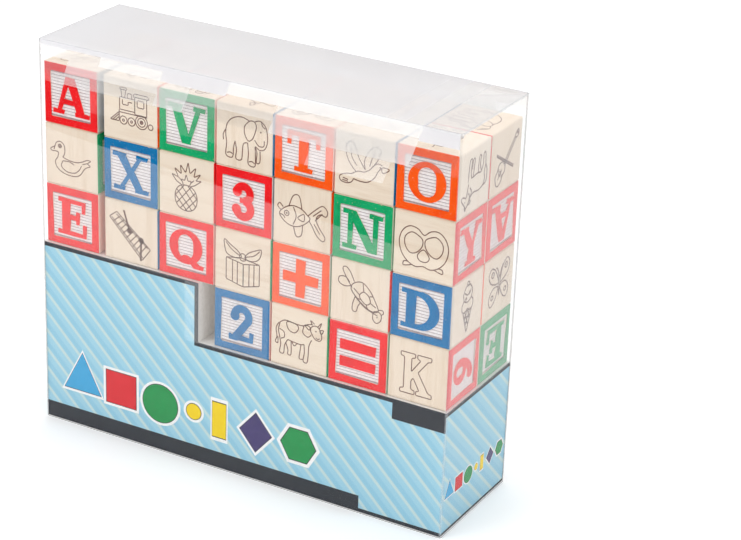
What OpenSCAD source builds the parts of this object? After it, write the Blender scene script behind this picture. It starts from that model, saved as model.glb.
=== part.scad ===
// Boxed set of wooden alphabet blocks: two layers of 1 inch blocks on a stepped
// card, in a clear folding box with a tuck-in lid. Millimetres. The origin is at
// the middle of the box's underside, +X runs right along the front, +Y to the rear.

/* [Blocks] */
// Edge length of one block
block_size = 25.4; // [20:0.1:40]
// Radius of the sanded edges of a block
edge_r = 1; // [0.4:0.1:2]
// Width of the painted frame round a letter
frame_w = 3.3; // [2.4:0.1:4.5]
// Corner radius of the pressed window inside the frame
window_r = 0.5; // [0.2:0.1:1.5]
// Depth that the ground round a letter is pressed in
press_depth = 0.6; // [0.3:0.05:1.2]

/* [Letters] */
// Height of a capital letter
cap_h = 15.4; // [10:0.1:18]
// Width of a heavy stroke
heavy_w = 4; // [2.5:0.1:5]
// Width of a thin stroke
light_w = 2; // [1.2:0.1:3]
// Stroke width of a numeral
figure_w = 3.2; // [2:0.1:4]
// Thickness of a slab serif
slab_t = 1.7; // [1:0.1:2.5]

/* [Stacking] */
// Gap between neighbouring columns of blocks
column_gap = 0.38; // [0.2:0.01:1]
// Wide gap after the first column, where all the slack has gathered
slack_gap = 2.7; // [0.4:0.1:6]
// Gap between the front and the rear layer
layer_gap = 0.3; // [0.2:0.05:1]
// Gap between the outer columns and the card
side_clear = 0.25; // [0.2:0.05:1.5]
// Gap between the blocks and the card at the front and the rear
depth_clear = 0.5; // [0.3:0.05:2]
// Free height over the top row
headroom = 8.1; // [4:0.1:20]

/* [Card] */
// Thickness of the card
card_t = 0.4; // [0.3:0.05:0.8]
// Gap between the card and the clear walls
card_clear = 0.15; // [0.1:0.05:0.5]
// Height of the low platform over the table
riser_h = 53; // [30:0.5:80]
// How far the high platform's end stays back from the end of the third column
step_setback = 6.2; // [0:0.1:10]
// Depth of the glued flap where the sleeve closes
glue_flap_w = 12; // [6:0.5:20]
// Depth of the tabs that stiffen the rear edge of the platforms
tab_h = 14; // [6:0.5:24]
// Radius at the free corners of tabs and flaps of card
tab_r = 3; // [1:0.5:6]

/* [Clear box] */
// Thickness of the clear sheet
sheet_t = 0.4; // [0.25:0.05:0.8]
// Depth of the tuck flap behind the front wall
tuck_h = 17; // [8:0.5:30]
// Corner radius of the tuck flap
tuck_r = 8; // [2:0.5:16]
// Gap at each end of the tuck flap
tuck_end_gap = 1.2; // [0.5:0.1:4]
// Reach of a dust flap under the lid
dust_reach = 28; // [12:0.5:45]
// Gap between a dust flap and the tuck flap
dust_gap = 0.8; // [0.4:0.1:3]
// Slope of a dust flap's slanted edges, reach over depth
dust_slope = 1.35; // [0.6:0.05:1.4]

/* [Hidden] */
$fn = 48;

// How far a cut runs past the surface that it starts from
overrun = 1;

COLUMNS = 7;
ROWS = 4;
HIGH_COLUMNS = 3;
LAYERS = ["front", "rear"];

// Letters and signs of the set, one character each, in reading order of the rows.
// A block whose row and column add up to an even number has them on its front and
// rear sides, the others on their right and left sides. A dot is an empty cell.
FACES = [
    ["front", ["AGVHTBO", "FXJ3LNY", "EMQP+RD", "...2W=6"]],
    ["rear", ["KSCIUZM", "0T8D5HA", "L1R4G9N", "...BxPE"]]
];
BACKS = [
    ["front", ["SDEIKMC", "W7ZAPGU", "5HJT9FB", "...OVLX"]],
    ["rear", ["RE6OJVQ", "YB-KFXC", "GZUN3WS", "...MI72"]]
];
// Quarter turns of the letters above, anticlockwise
TURNS = [
    ["front", ["0000000", "0000000", "0000000", "...0003"]],
    ["rear", ["0000000", "0000002", "0000000", "...0002"]]
];
// Paint on those sides: r red, o orange, g green, b blue
PAINTS = [
    ["front", ["rogbobo", "gbrrogr", "rbrgorb", "...bgrr"]],
    ["rear", ["gbrogbr", "orbgror", "bgorbgo", "...rbgg"]]
];

window = block_size - 2 * frame_w;
field_w = COLUMNS * block_size + (COLUMNS - 2) * column_gap + slack_gap;
field_d = 2 * block_size + layer_gap;
card_w = field_w + 2 * side_clear + 2 * card_t;
card_d = field_d + 2 * depth_clear + 2 * card_t;
inner_w = card_w + 2 * card_clear;
inner_d = card_d + 2 * card_clear;
box_w = inner_w + 2 * sheet_t;
box_d = inner_d + 2 * sheet_t;
high_h = riser_h + block_size;
stack_top = riser_h + ROWS * block_size;
flap_z = stack_top + headroom;
lid_z = flap_z + sheet_t;
box_h = lid_z + sheet_t;
step_x = column_x(HIGH_COLUMNS - 1) + block_size - step_setback;

WOOD = "#ecdcc4";
CARD_BLUE = "#9fd3ea";
CLEAR = [0.86, 0.9, 0.93, 0.35];
PAINT_ORDER = "rogb";
PAINT_COLOURS = ["#ee1c24", "#ff5310", "#05a35c", "#1f6cb4"];

// Left edge of a column, counted from 0
function column_x(c) =
    -field_w / 2 + c * (block_size + column_gap) + (c > 0 ? slack_gap - column_gap : 0);

// Underside of a row, counted from 0 at the top
function row_z(r) = riser_h + (ROWS - 1 - r) * block_size;

// Front of a layer
function layer_y(layer) = layer == "front" ? -field_d / 2 : layer_gap / 2;

function cell(table, layer, r, c) = table[search([layer], table)[0]][1][r][c];

function paint_number(layer, r, c) = search(cell(PAINTS, layer, r, c), PAINT_ORDER)[0];

function block_name(layer, r, c) = str(layer, "_block_r", r + 1, "_c", c + 1);

CELLS = [
    for (layer = LAYERS, c = [0 : COLUMNS - 1], r = [ROWS - 1 : -1 : 0])
        if (cell(FACES, layer, r, c) != ".") [layer, r, c]
];

BOX_NODES = [
    "lid_panel", "tuck_flap", "left_dust_flap", "right_dust_flap", "front_wall",
    "rear_wall", "left_wall", "right_wall", "bottom_panel", "card_riser"
];

// Widths of the strokes, in shares of the capital height
H_share = heavy_w / cap_h;
L_share = light_w / cap_h;
N_share = figure_w / cap_h;
S_share = slab_t / cap_h;

// Every glyph is a list of strokes. Places are shares of the capital height, with
// x from the middle of the glyph and y from its foot.
//   stem  x, y from, y to, width              bar   x from, x to, y, thickness
//   slant x at y from, y from, x at y to, y to, width measured level
//   slab  x, half length, 0 at the foot or 1 at the top
//   bowl  flat side x, round side x, y from, y to, side width, end width
//   ring  x, half width, y from, y to, side width, end width
//   gap   x from, x to, y from, y to, cut out of what is listed before it
//   arc   x, y, middle radius, angle from, angle to, width
//   dot   x, y, radius
SHAPE_shares = [
    ["A", [["slant", -0.37, 0, -0.08, 1, L_share], ["slant", 0.35, 0, -0.02, 1, H_share],
        ["bar", -0.25, 0.25, 0.34, L_share], ["slab", -0.37, 0.17, 0], ["slab", 0.36, 0.22, 0]]],
    ["B", [["stem", -0.22, 0, 1, H_share], ["bowl", -0.22, 0.34, 0.47, 1, H_share, L_share],
        ["bowl", -0.22, 0.41, 0, 0.58, H_share, L_share], ["slab", -0.28, 0.2, 0],
        ["slab", -0.28, 0.2, 1]]],
    ["C", [["ring", 0, 0.45, 0, 1, H_share, L_share], ["gap", 0.08, 0.6, 0.27, 0.66],
        ["gap", 0.3, 0.6, 0.6, 1], ["stem", 0.36, 0.62, 1, L_share]]],
    ["D", [["stem", -0.27, 0, 1, H_share], ["bowl", -0.27, 0.5, 0, 1, H_share, L_share],
        ["slab", -0.33, 0.2, 0], ["slab", -0.33, 0.2, 1]]],
    ["E", [["stem", -0.2, 0, 1, H_share], ["slab", -0.02, 0.44, 0], ["slab", -0.02, 0.42, 1],
        ["bar", -0.1, 0.18, 0.51, L_share], ["stem", 0.17, 0.34, 0.68, S_share],
        ["stem", 0.38, 0, 0.36, S_share], ["stem", 0.35, 0.68, 1, S_share]]],
    ["F", [["stem", -0.18, 0, 1, H_share], ["slab", -0.16, 0.27, 0], ["slab", -0.01, 0.42, 1],
        ["bar", -0.1, 0.2, 0.49, L_share], ["stem", 0.19, 0.32, 0.66, S_share],
        ["stem", 0.36, 0.66, 1, S_share]]],
    ["G", [["ring", 0, 0.46, 0, 1, H_share, L_share], ["gap", 0.08, 0.6, 0.4, 0.66],
        ["gap", 0.3, 0.6, 0.6, 1], ["stem", 0.36, 0.62, 1, L_share],
        ["stem", 0.31, 0.04, 0.44, H_share], ["bar", 0.08, 0.5, 0.44, S_share]]],
    ["H", [["stem", -0.31, 0, 1, H_share], ["stem", 0.31, 0, 1, H_share],
        ["bar", -0.3, 0.3, 0.51, L_share], ["slab", -0.31, 0.23, 0], ["slab", 0.31, 0.23, 0],
        ["slab", -0.31, 0.23, 1], ["slab", 0.31, 0.23, 1]]],
    ["I", [["stem", 0, 0, 1, H_share], ["slab", 0, 0.28, 0], ["slab", 0, 0.28, 1]]],
    ["J", [["ring", -0.1, 0.35, 0, 0.7, H_share, L_share], ["gap", -0.5, 0.5, 0.35, 0.8],
        ["stem", 0.12, 0.34, 1, H_share], ["slab", 0.12, 0.28, 1], ["dot", -0.3, 0.33, 0.15]]],
    ["K", [["stem", -0.27, 0, 1, H_share], ["slant", -0.2, 0.36, 0.34, 1, L_share],
        ["slant", 0.36, 0, 0.03, 0.55, H_share], ["slant", 0.17, 0.42, 0.02, 0.6, L_share],
        ["slab", -0.27, 0.22, 0], ["slab", -0.27, 0.22, 1],
        ["slab", 0.35, 0.19, 0], ["slab", 0.33, 0.19, 1]]],
    ["L", [["stem", -0.18, 0, 1, H_share], ["slab", -0.18, 0.24, 1], ["slab", 0, 0.42, 0],
        ["stem", 0.37, 0, 0.38, S_share]]],
    ["M", [["stem", -0.4, 0, 1, L_share], ["stem", 0.37, 0, 1, H_share],
        ["slant", 0, 0, -0.32, 1, H_share], ["slant", 0.02, 0, 0.34, 1, L_share],
        ["slab", -0.4, 0.13, 0], ["slab", 0.38, 0.17, 0], ["slab", -0.42, 0.1, 1],
        ["slab", 0.42, 0.12, 1]]],
    ["N", [["stem", -0.33, 0, 1, L_share], ["stem", 0.36, 0, 1, L_share],
        ["slant", 0.3, 0, -0.3, 1, H_share], ["slab", -0.34, 0.19, 0], ["slab", -0.4, 0.13, 1],
        ["slab", 0.37, 0.18, 1]]],
    ["O", [["ring", 0, 0.5, 0, 1, H_share, L_share]]],
    ["P", [["stem", -0.2, 0, 1, H_share], ["bowl", -0.2, 0.42, 0.4, 1, H_share, L_share],
        ["slab", -0.18, 0.27, 0], ["slab", -0.26, 0.19, 1]]],
    ["Q", [["ring", -0.01, 0.49, 0.08, 1, H_share, L_share], ["arc", 0, 0.12, 0.14, 20, 180, S_share],
        ["slant", 0.36, 0, 0.12, 0.26, H_share], ["bar", 0.26, 0.52, 0.055, S_share]]],
    ["R", [["stem", -0.25, 0, 1, H_share], ["bowl", -0.25, 0.34, 0.44, 1, H_share, L_share],
        ["slant", 0.33, 0, 0.04, 0.5, H_share], ["slab", -0.25, 0.22, 0], ["slab", -0.31, 0.19, 1],
        ["slab", 0.38, 0.13, 0]]],
    ["S", [["arc", 0, 0.71, 0.19, 15, 270, N_share], ["arc", 0, 0.31, 0.21, -165, 90, N_share],
        ["stem", 0.25, 0.7, 0.98, S_share], ["stem", -0.27, 0.02, 0.34, S_share]]],
    ["T", [["stem", 0, 0, 1, H_share], ["slab", 0, 0.25, 0], ["slab", 0, 0.45, 1],
        ["stem", -0.4, 0.66, 1, S_share], ["stem", 0.4, 0.66, 1, S_share]]],
    ["U", [["ring", 0.01, 0.42, 0, 0.96, L_share, L_share], ["gap", -0.6, 0.6, 0.5, 1.1],
        ["slant", -0.13, 0.1, -0.28, 0.42, H_share], ["stem", -0.28, 0.42, 1, H_share],
        ["stem", 0.365, 0.45, 1, L_share],
        ["slab", -0.28, 0.22, 1], ["slab", 0.36, 0.16, 1]]],
    ["V", [["slant", 0, 0, -0.33, 1, H_share], ["slant", 0.04, 0, 0.36, 1, L_share],
        ["slab", -0.34, 0.21, 1], ["slab", 0.37, 0.17, 1]]],
    ["W", [["slant", -0.2, 0, -0.42, 1, H_share], ["slant", -0.18, 0, 0.02, 1, L_share],
        ["slant", 0.2, 0, -0.02, 1, H_share], ["slant", 0.22, 0, 0.42, 1, L_share],
        ["slab", -0.4, 0.16, 1], ["slab", 0.42, 0.13, 1]]],
    ["X", [["slant", 0.33, 0, -0.33, 1, H_share], ["slant", -0.33, 0, 0.33, 1, L_share],
        ["slab", -0.34, 0.2, 1], ["slab", 0.34, 0.17, 1], ["slab", -0.34, 0.17, 0],
        ["slab", 0.34, 0.2, 0]]],
    ["Y", [["stem", 0.02, 0, 0.5, H_share], ["slant", 0.02, 0.42, -0.33, 1, H_share],
        ["slant", 0.06, 0.42, 0.36, 1, L_share], ["slab", 0.02, 0.25, 0], ["slab", -0.34, 0.2, 1],
        ["slab", 0.37, 0.16, 1]]],
    ["Z", [["slant", -0.24, 0, 0.24, 1, H_share], ["slab", 0, 0.38, 0], ["slab", 0, 0.38, 1],
        ["stem", -0.33, 0.66, 1, S_share], ["stem", 0.33, 0, 0.34, S_share]]],
    ["0", [["ring", 0, 0.36, 0, 1, N_share, L_share]]],
    ["1", [["stem", 0.02, 0, 1, H_share], ["slab", 0.02, 0.28, 0], ["bar", -0.24, 0.02, 0.86, L_share]]],
    ["2", [["arc", 0, 0.69, 0.21, -62, 180, N_share], ["slant", -0.25, 0, 0.172, 0.57, 0.254],
        ["bar", -0.377, 0.33, 0.09, L_share], ["stem", 0.29, 0.03, 0.3, S_share],
        ["dot", -0.2, 0.68, 0.13]]],
    ["3", [["arc", 0, 0.71, 0.19, -90, 160, N_share], ["arc", 0, 0.31, 0.21, -160, 90, N_share],
        ["bar", -0.1, 0.02, 0.52, L_share], ["dot", -0.18, 0.74, 0.13], ["dot", -0.2, 0.27, 0.13]]],
    ["4", [["stem", 0.12, 0, 1, N_share], ["bar", -0.4, 0.4, 0.3, L_share],
        ["slant", -0.32, 0.3, 0.04, 1, L_share], ["slab", 0.12, 0.24, 0]]],
    ["5", [["bar", -0.24, 0.3, 0.91, S_share], ["stem", -0.2, 0.45, 0.96, L_share],
        ["arc", 0, 0.32, 0.22, -160, 130, N_share], ["dot", -0.2, 0.24, 0.13]]],
    ["6", [["ring", 0, 0.33, 0, 0.62, N_share, L_share], ["arc", 0.36, 0.31, 0.586, 106, 180, N_share],
        ["dot", 0.22, 0.84, 0.12]]],
    ["7", [["slant", -0.1, 0, 0.24, 0.9, N_share], ["slab", 0, 0.35, 1],
        ["stem", -0.3, 0.68, 1, S_share]]],
    ["8", [["ring", 0, 0.29, 0.47, 1, N_share, L_share], ["ring", 0, 0.34, 0, 0.58, N_share, L_share]]],
    ["9", [["ring", 0, 0.33, 0.38, 1, N_share, L_share], ["arc", -0.36, 0.69, 0.586, -74, 0, N_share],
        ["dot", -0.22, 0.16, 0.12]]],
    ["+", [["stem", 0, 0, 1, H_share], ["bar", -0.5, 0.5, 0.5, H_share]]],
    ["-", [["bar", -0.5, 0.5, 0.5, H_share]]],
    ["x", [["slant", 0.36, 0.1, -0.36, 0.9, 0.34], ["slant", -0.36, 0.1, 0.36, 0.9, 0.34]]],
    ["=", [["bar", -0.5, 0.5, 0.73, H_share], ["bar", -0.5, 0.5, 0.27, H_share]]]
];

// A circle or a long round-ended slot that fills the given width and height
module slot_2d(w, h) {
    r = min(w, h) / 2;
    for (side = [-1, 1])
        translate([side * (w / 2 - r), side * (h / 2 - r)])
            circle(r = r);
    if (h > w)
        square([w, h - w], center = true);
    if (w > h)
        square([w - h, h], center = true);
}

// A rectangle with one round end to the right of x = 0
module round_end_2d(w, h) {
    r = min(w, h / 2);
    square([w - r, h]);
    translate([w - r, h / 2])
        intersection() {
            slot_2d(2 * r, h);
            translate([0, -h])
                square([2 * r, 2 * h]);
        }
}

// A wedge from the origin that keeps one stretch of an arc
module wedge_2d(reach, from, to) {
    steps = ceil((to - from) / 60);
    turn = (to - from) / steps;
    polygon(concat([[0, 0]], [
        for (i = [0 : steps])
            let (a = from + i * turn)
                [reach * cos(a), reach * sin(a)]
    ]));
}

// One stroke of a glyph, at the capital height
module stroke_2d(s) {
    u = cap_h;
    if (s[0] == "stem")
        translate([(s[1] - s[4] / 2) * u, s[2] * u])
            square([s[4] * u, (s[3] - s[2]) * u]);
    if (s[0] == "bar")
        translate([s[1] * u, (s[3] - s[4] / 2) * u])
            square([(s[2] - s[1]) * u, s[4] * u]);
    if (s[0] == "slant")
        polygon([
            [(s[1] - s[5] / 2) * u, s[2] * u], [(s[1] + s[5] / 2) * u, s[2] * u],
            [(s[3] + s[5] / 2) * u, s[4] * u], [(s[3] - s[5] / 2) * u, s[4] * u]
        ]);
    if (s[0] == "slab")
        translate([(s[1] - s[2]) * u, s[3] * (u - slab_t)])
            square([2 * s[2] * u, slab_t]);
    if (s[0] == "bowl")
        translate([s[1] * u, s[3] * u])
            difference() {
                round_end_2d((s[2] - s[1]) * u, (s[4] - s[3]) * u);
                translate([0, s[6] * u])
                    round_end_2d((s[2] - s[1] - s[5]) * u, (s[4] - s[3] - 2 * s[6]) * u);
            }
    if (s[0] == "ring")
        translate([s[1] * u, (s[3] + s[4]) / 2 * u])
            difference() {
                slot_2d(2 * s[2] * u, (s[4] - s[3]) * u);
                slot_2d(2 * (s[2] - s[5]) * u, (s[4] - s[3] - 2 * s[6]) * u);
            }
    if (s[0] == "arc")
        translate([s[1] * u, s[2] * u])
            intersection() {
                difference() {
                    circle(r = (s[3] + s[6] / 2) * u);
                    circle(r = (s[3] - s[6] / 2) * u);
                }
                wedge_2d(3 * s[3] * u, s[4], s[5]);
            }
    if (s[0] == "dot")
        translate([s[1] * u, s[2] * u])
            circle(r = s[3] * u);
}

// The strokes of a glyph up to the given one, with each gap cut from those before it
module strokes_2d(strokes, last) {
    if (last >= 0) {
        s = strokes[last];
        if (s[0] == "gap")
            difference() {
                strokes_2d(strokes, last - 1);
                translate([s[1] * cap_h, s[3] * cap_h])
                    square([(s[2] - s[1]) * cap_h, (s[4] - s[3]) * cap_h]);
            }
        else {
            strokes_2d(strokes, last - 1);
            stroke_2d(s);
        }
    }
}

// A letter, numeral or sign, centred
module glyph_2d(name) {
    strokes = SHAPE_shares[search([name], SHAPE_shares)[0]][1];
    translate([0, -cap_h / 2])
        strokes_2d(strokes, len(strokes) - 1);
}

// A square with round corners, centred
module round_square_2d(size, r) {
    square([size, size - 2 * r], center = true);
    square([size - 2 * r, size], center = true);
    for (x = [-1, 1], y = [-1, 1])
        translate([x * (size / 2 - r), y * (size / 2 - r)])
            circle(r = r);
}

// A cube with every edge rounded, centred
module sanded_cube() {
    intersection_for (turn = [[0, 0, 0], [90, 0, 0], [0, 90, 0]])
        rotate(turn)
            linear_extrude(block_size, center = true)
                round_square_2d(block_size, edge_r);
}

// What the press leaves standing on a side that faces -Y: the frame and a letter
module raised_side(name, turn, paint) {
    color(PAINT_COLOURS[paint])
        intersection() {
            sanded_cube();
            rotate([90, 0, 0])
                translate([0, 0, block_size / 2 - press_depth])
                    linear_extrude(press_depth + overrun) {
                        difference() {
                            square(block_size, center = true);
                            round_square_2d(window, window_r);
                        }
                        rotate(turn)
                            glyph_2d(name);
                    }
        }
}

// The wood between the pressed grounds of the two lettered sides
module block_core() {
    color(WOOD)
        intersection() {
            sanded_cube();
            cube([block_size, block_size - 2 * press_depth, block_size], center = true);
        }
}

// One block in its place
module block(layer, r, c) {
    sideways = (r + c) % 2;
    turn = 90 * (ord(cell(TURNS, layer, r, c)) - ord("0"));
    paint = paint_number(layer, r, c);
    back_paint = (paint + 2) % len(PAINT_COLOURS);
    half = block_size / 2;
    translate([column_x(c) + half, layer_y(layer) + half, row_z(r) + half])
        rotate(sideways * 90) {
            block_core();
            raised_side(cell(FACES, layer, r, c), turn, paint);
            rotate(180)
                raised_side(cell(BACKS, layer, r, c), 0, back_paint);
        }
}

// A card or sheet panel between two corners
module panel(low, high) {
    translate(low)
        cube(high - low);
}

// A tab that hangs from z = 0, with round free corners, in the XZ plane
module hanging_tab(w, h, r, t) {
    translate([0, t, 0])
        rotate([90, 0, 0])
            linear_extrude(t) {
                translate([-w / 2, r - h])
                    square([w, h - r]);
                translate([r - w / 2, -h])
                    square([w - 2 * r, h]);
                for (side = [-1, 1])
                    translate([side * (w / 2 - r), r - h])
                        circle(r = r);
            }
}

// Printed card: one folded sleeve with a low and a high platform
module card_riser() {
    x = card_w / 2;
    y = card_d / 2;
    low_mid = (step_x + x) / 2;
    high_mid = (step_x - x) / 2;
    color(CARD_BLUE) {
        for (wall_y = [-y, y - card_t]) {
            panel([-x, wall_y, sheet_t], [step_x, wall_y + card_t, high_h]);
            panel([-x, wall_y, sheet_t], [x, wall_y + card_t, riser_h]);
        }
        panel([-x, -y, sheet_t], [card_t - x, y, high_h]);
        panel([x - card_t, -y, sheet_t], [x, y, riser_h]);
        panel([-x, -y, high_h - card_t], [step_x, y, high_h]);
        panel([step_x - card_t, -y, riser_h - card_t], [step_x, y, high_h]);
        panel([step_x - card_t, -y, riser_h - card_t], [x, y, riser_h]);
        panel([-x, y - 2 * card_t, sheet_t], [glue_flap_w - x, y, high_h]);
        translate([low_mid, y - 2 * card_t, riser_h - card_t])
            hanging_tab(x - step_x - 2 * tab_r, tab_h, tab_r, card_t);
        translate([high_mid, y - 2 * card_t, high_h - card_t])
            hanging_tab(step_x + x - 2 * tab_r, tab_h, tab_r, card_t);
    }
}

module front_wall() {
    color(CLEAR)
        panel([-box_w / 2, -box_d / 2, 0], [box_w / 2, -inner_d / 2, lid_z]);
}

module rear_wall() {
    color(CLEAR)
        panel([-box_w / 2, inner_d / 2, 0], [box_w / 2, box_d / 2, lid_z]);
}

module left_wall() {
    color(CLEAR)
        panel([-box_w / 2, -inner_d / 2, 0], [-inner_w / 2, inner_d / 2, flap_z]);
}

module right_wall() {
    color(CLEAR)
        panel([inner_w / 2, -inner_d / 2, 0], [box_w / 2, inner_d / 2, flap_z]);
}

module bottom_panel() {
    color(CLEAR)
        panel([-inner_w / 2, -inner_d / 2, 0], [inner_w / 2, inner_d / 2, sheet_t]);
}

module lid_panel() {
    color(CLEAR)
        panel([-box_w / 2, -box_d / 2, lid_z], [box_w / 2, box_d / 2, box_h]);
}

// Flap at the lid's front edge, tucked in behind the front wall
module tuck_flap() {
    color(CLEAR)
        translate([0, -inner_d / 2, lid_z])
            hanging_tab(inner_w - 2 * tuck_end_gap, tuck_h, tuck_r, sheet_t);
}

// Flap on a side wall's top crease, under the lid, slanted at both ends
module dust_flap(side) {
    rear_y = inner_d / 2;
    front_y = -inner_d / 2 + sheet_t + dust_gap;
    slant = dust_reach / dust_slope;
    outer_x = side * box_w / 2;
    inner_x = side * (box_w / 2 - dust_reach);
    color(CLEAR)
        translate([0, 0, flap_z])
            linear_extrude(sheet_t)
                polygon([
                    [outer_x, front_y], [inner_x, front_y + dust_gap * dust_slope],
                    [inner_x, rear_y - slant], [outer_x, rear_y]
                ]);
}

module left_dust_flap() {
    dust_flap(-1);
}

module right_dust_flap() {
    dust_flap(1);
}

lid_panel();
tuck_flap();
left_dust_flap();
right_dust_flap();
front_wall();
rear_wall();
left_wall();
right_wall();
bottom_panel();
card_riser();
for (b = CELLS)
    block(b[0], b[1], b[2]);
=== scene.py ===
"""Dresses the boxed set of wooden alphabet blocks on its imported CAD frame."""
import logging
import math
from dataclasses import dataclass, field
from enum import Enum

import bmesh
import bpy
from mathutils import Matrix, Vector


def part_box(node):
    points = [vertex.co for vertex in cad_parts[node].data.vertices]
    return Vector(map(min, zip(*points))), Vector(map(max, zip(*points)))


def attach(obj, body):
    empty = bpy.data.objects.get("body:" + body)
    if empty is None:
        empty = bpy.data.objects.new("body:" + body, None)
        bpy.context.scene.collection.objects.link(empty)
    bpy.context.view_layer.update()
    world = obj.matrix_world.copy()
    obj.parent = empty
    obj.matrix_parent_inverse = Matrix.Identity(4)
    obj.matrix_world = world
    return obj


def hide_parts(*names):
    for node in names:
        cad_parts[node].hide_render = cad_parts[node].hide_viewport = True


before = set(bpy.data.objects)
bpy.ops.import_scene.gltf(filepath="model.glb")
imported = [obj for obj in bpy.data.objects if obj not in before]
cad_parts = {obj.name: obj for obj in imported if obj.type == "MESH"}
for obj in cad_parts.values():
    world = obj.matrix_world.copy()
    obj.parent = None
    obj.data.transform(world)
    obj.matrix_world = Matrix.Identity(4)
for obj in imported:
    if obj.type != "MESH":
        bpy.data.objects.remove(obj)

LOG = logging.getLogger("block_set")
MM = 0.001

# sizes of the real set, all in mm
BLOCK = 25.4  # edge of a block
HALF = BLOCK / 2
PRESS_DEPTH = 0.6  # how far the ground is pressed in
GROUND = HALF - PRESS_DEPTH  # how far the ground lies from the block's middle
PAINT_WRAP = 0.35  # how far the roller's paint reaches round a sanded edge
WINDOW = 18.8  # inside of the raised frame
CARD_X, CARD_Y = 91.85, 26.45  # half sizes of the card
LOW_Z, HIGH_Z, STEP_X = 53.0, 78.4, -18.12  # the card's two platforms and its step
BOX_X, BOX_Y, BOX_Z = 92.4, 27.0, 163.5  # half sizes and height of the clear box
SHEET = 0.4  # thickness of the clear sheet
WELD = 0.0001  # points this close are one
NEAR = 0.05  # a face this close to a level lies on it
STRAIGHT = 0.99  # share of a face's normal that makes it flat to an axis


# Tools


def srgb(code: str) -> tuple[float, float, float, float]:
    """Turns an sRGB hex colour into linear RGBA.

    Args:
        code: the colour as "#rrggbb".

    Returns:
        Red, green, blue and alpha, linear.
    """
    parts = [int(code[i:i + 2], 16) / 255 for i in (1, 3, 5)]
    linear = [p / 12.92 if p <= 0.04045 else ((p + 0.055) / 1.055) ** 2.4 for p in parts]
    return (*linear, 1.0)


def noise_scale(width: float) -> float:
    """Gives the noise scale whose light and dark spots are each that wide, in mm."""
    return 1 / (width * MM) / 2


def wire(node: bpy.types.Node, values: dict | None = None, links: dict | None = None) -> None:
    """Sets a node's own sockets and links other sockets to them.

    Args:
        node: the node.
        values: socket values by socket name or index.
        links: output sockets by input socket name or index.
    """
    for key, value in (values or {}).items():
        node.inputs[key].default_value = value
    for key, source in (links or {}).items():
        node.id_data.links.new(source, node.inputs[key])


def add(tree: bpy.types.NodeTree, kind: str, values: dict | None = None, links: dict | None = None,
        stops: list | None = None, **settings) -> bpy.types.Node:
    """Adds a node with its settings and links.

    Args:
        tree: the node tree.
        kind: the node's type, without the leading "ShaderNode".
        values: socket values by socket name or index.
        links: output sockets by input socket name or index.
        stops: colour stops of a colour ramp, as (place, hex colour).
        settings: attributes of the node.

    Returns:
        The new node.
    """
    made = tree.nodes.new("ShaderNode" + kind)
    for key, value in settings.items():
        setattr(made, key, value)
    wire(made, values, links)
    if stops:
        ramp = made.color_ramp.elements
        while len(ramp) < len(stops):
            ramp.new(0.5)
        for element, (place, code) in zip(ramp, stops):
            element.position = place
            element.color = srgb(code)
    return made


def new_material(name: str) -> tuple:
    """Makes a node material with one Principled shader.

    Args:
        name: the material's name.

    Returns:
        The material, its tree, its shader and the object coordinates.
    """
    material = bpy.data.materials.new(name)
    material.use_nodes = True
    tree = material.node_tree
    tree.nodes.clear()
    shader = add(tree, "BsdfPrincipled")
    add(tree, "OutputMaterial", links={"Surface": shader.outputs["BSDF"]})
    place = add(tree, "TexCoord").outputs["Object"]
    return material, tree, shader, place


# Finishes


class GrainAxis(Enum):
    """Which way the grain of a block runs: how many times longer it is drawn along x, y and z."""

    ALONG_X = (14.0, 1.0, 1.0)
    ALONG_Z = (1.0, 1.0, 14.0)


@dataclass(frozen=True)
class SandedBasswood:
    """Sanded, unvarnished basswood: pale cream, a soft matt face and faint long grain."""

    name: str
    pale: str
    warm: str
    axis: GrainAxis
    grain_width: float = 1.6  # mm, a real growth ring here is 1 to 2 mm
    pore_width: float = 0.35  # mm, drawn coarse to show: a real pore is under 0.1 mm
    shift: float = 0.0

    def build(self) -> bpy.types.Material:
        """Makes the material.

        Returns:
            The material.
        """
        material, tree, shader, place = new_material(self.name)
        stretch = tuple(1.0 / a for a in self.axis.value)
        mapped = add(tree, "Mapping", {"Scale": stretch, "Location": (self.shift, self.shift, 0.0)},
                     {"Vector": place})
        rings = add(tree, "TexNoise", {"Scale": noise_scale(self.grain_width), "Detail": 3.0,
                                       "Roughness": 0.55}, {"Vector": mapped.outputs[0]})
        pores = add(tree, "TexNoise", {"Scale": noise_scale(self.pore_width), "Detail": 2.0},
                    {"Vector": mapped.outputs[0]})
        blend = add(tree, "MixRGB", {"Fac": 0.3},
                    {"Color1": rings.outputs["Fac"], "Color2": pores.outputs["Fac"]})
        tone = add(tree, "ValToRGB", links={"Fac": blend.outputs[0]},
                   stops=[(0.34, self.warm), (0.52, self.pale), (0.7, self.pale)])
        bump = add(tree, "Bump", {"Strength": 0.25, "Distance": 0.04 * MM}, {"Height": blend.outputs[0]})
        wire(shader, {"Roughness": 0.62, "IOR": 1.5},
             {"Base Color": tone.outputs[0], "Normal": bump.outputs[0]})
        return material


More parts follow.
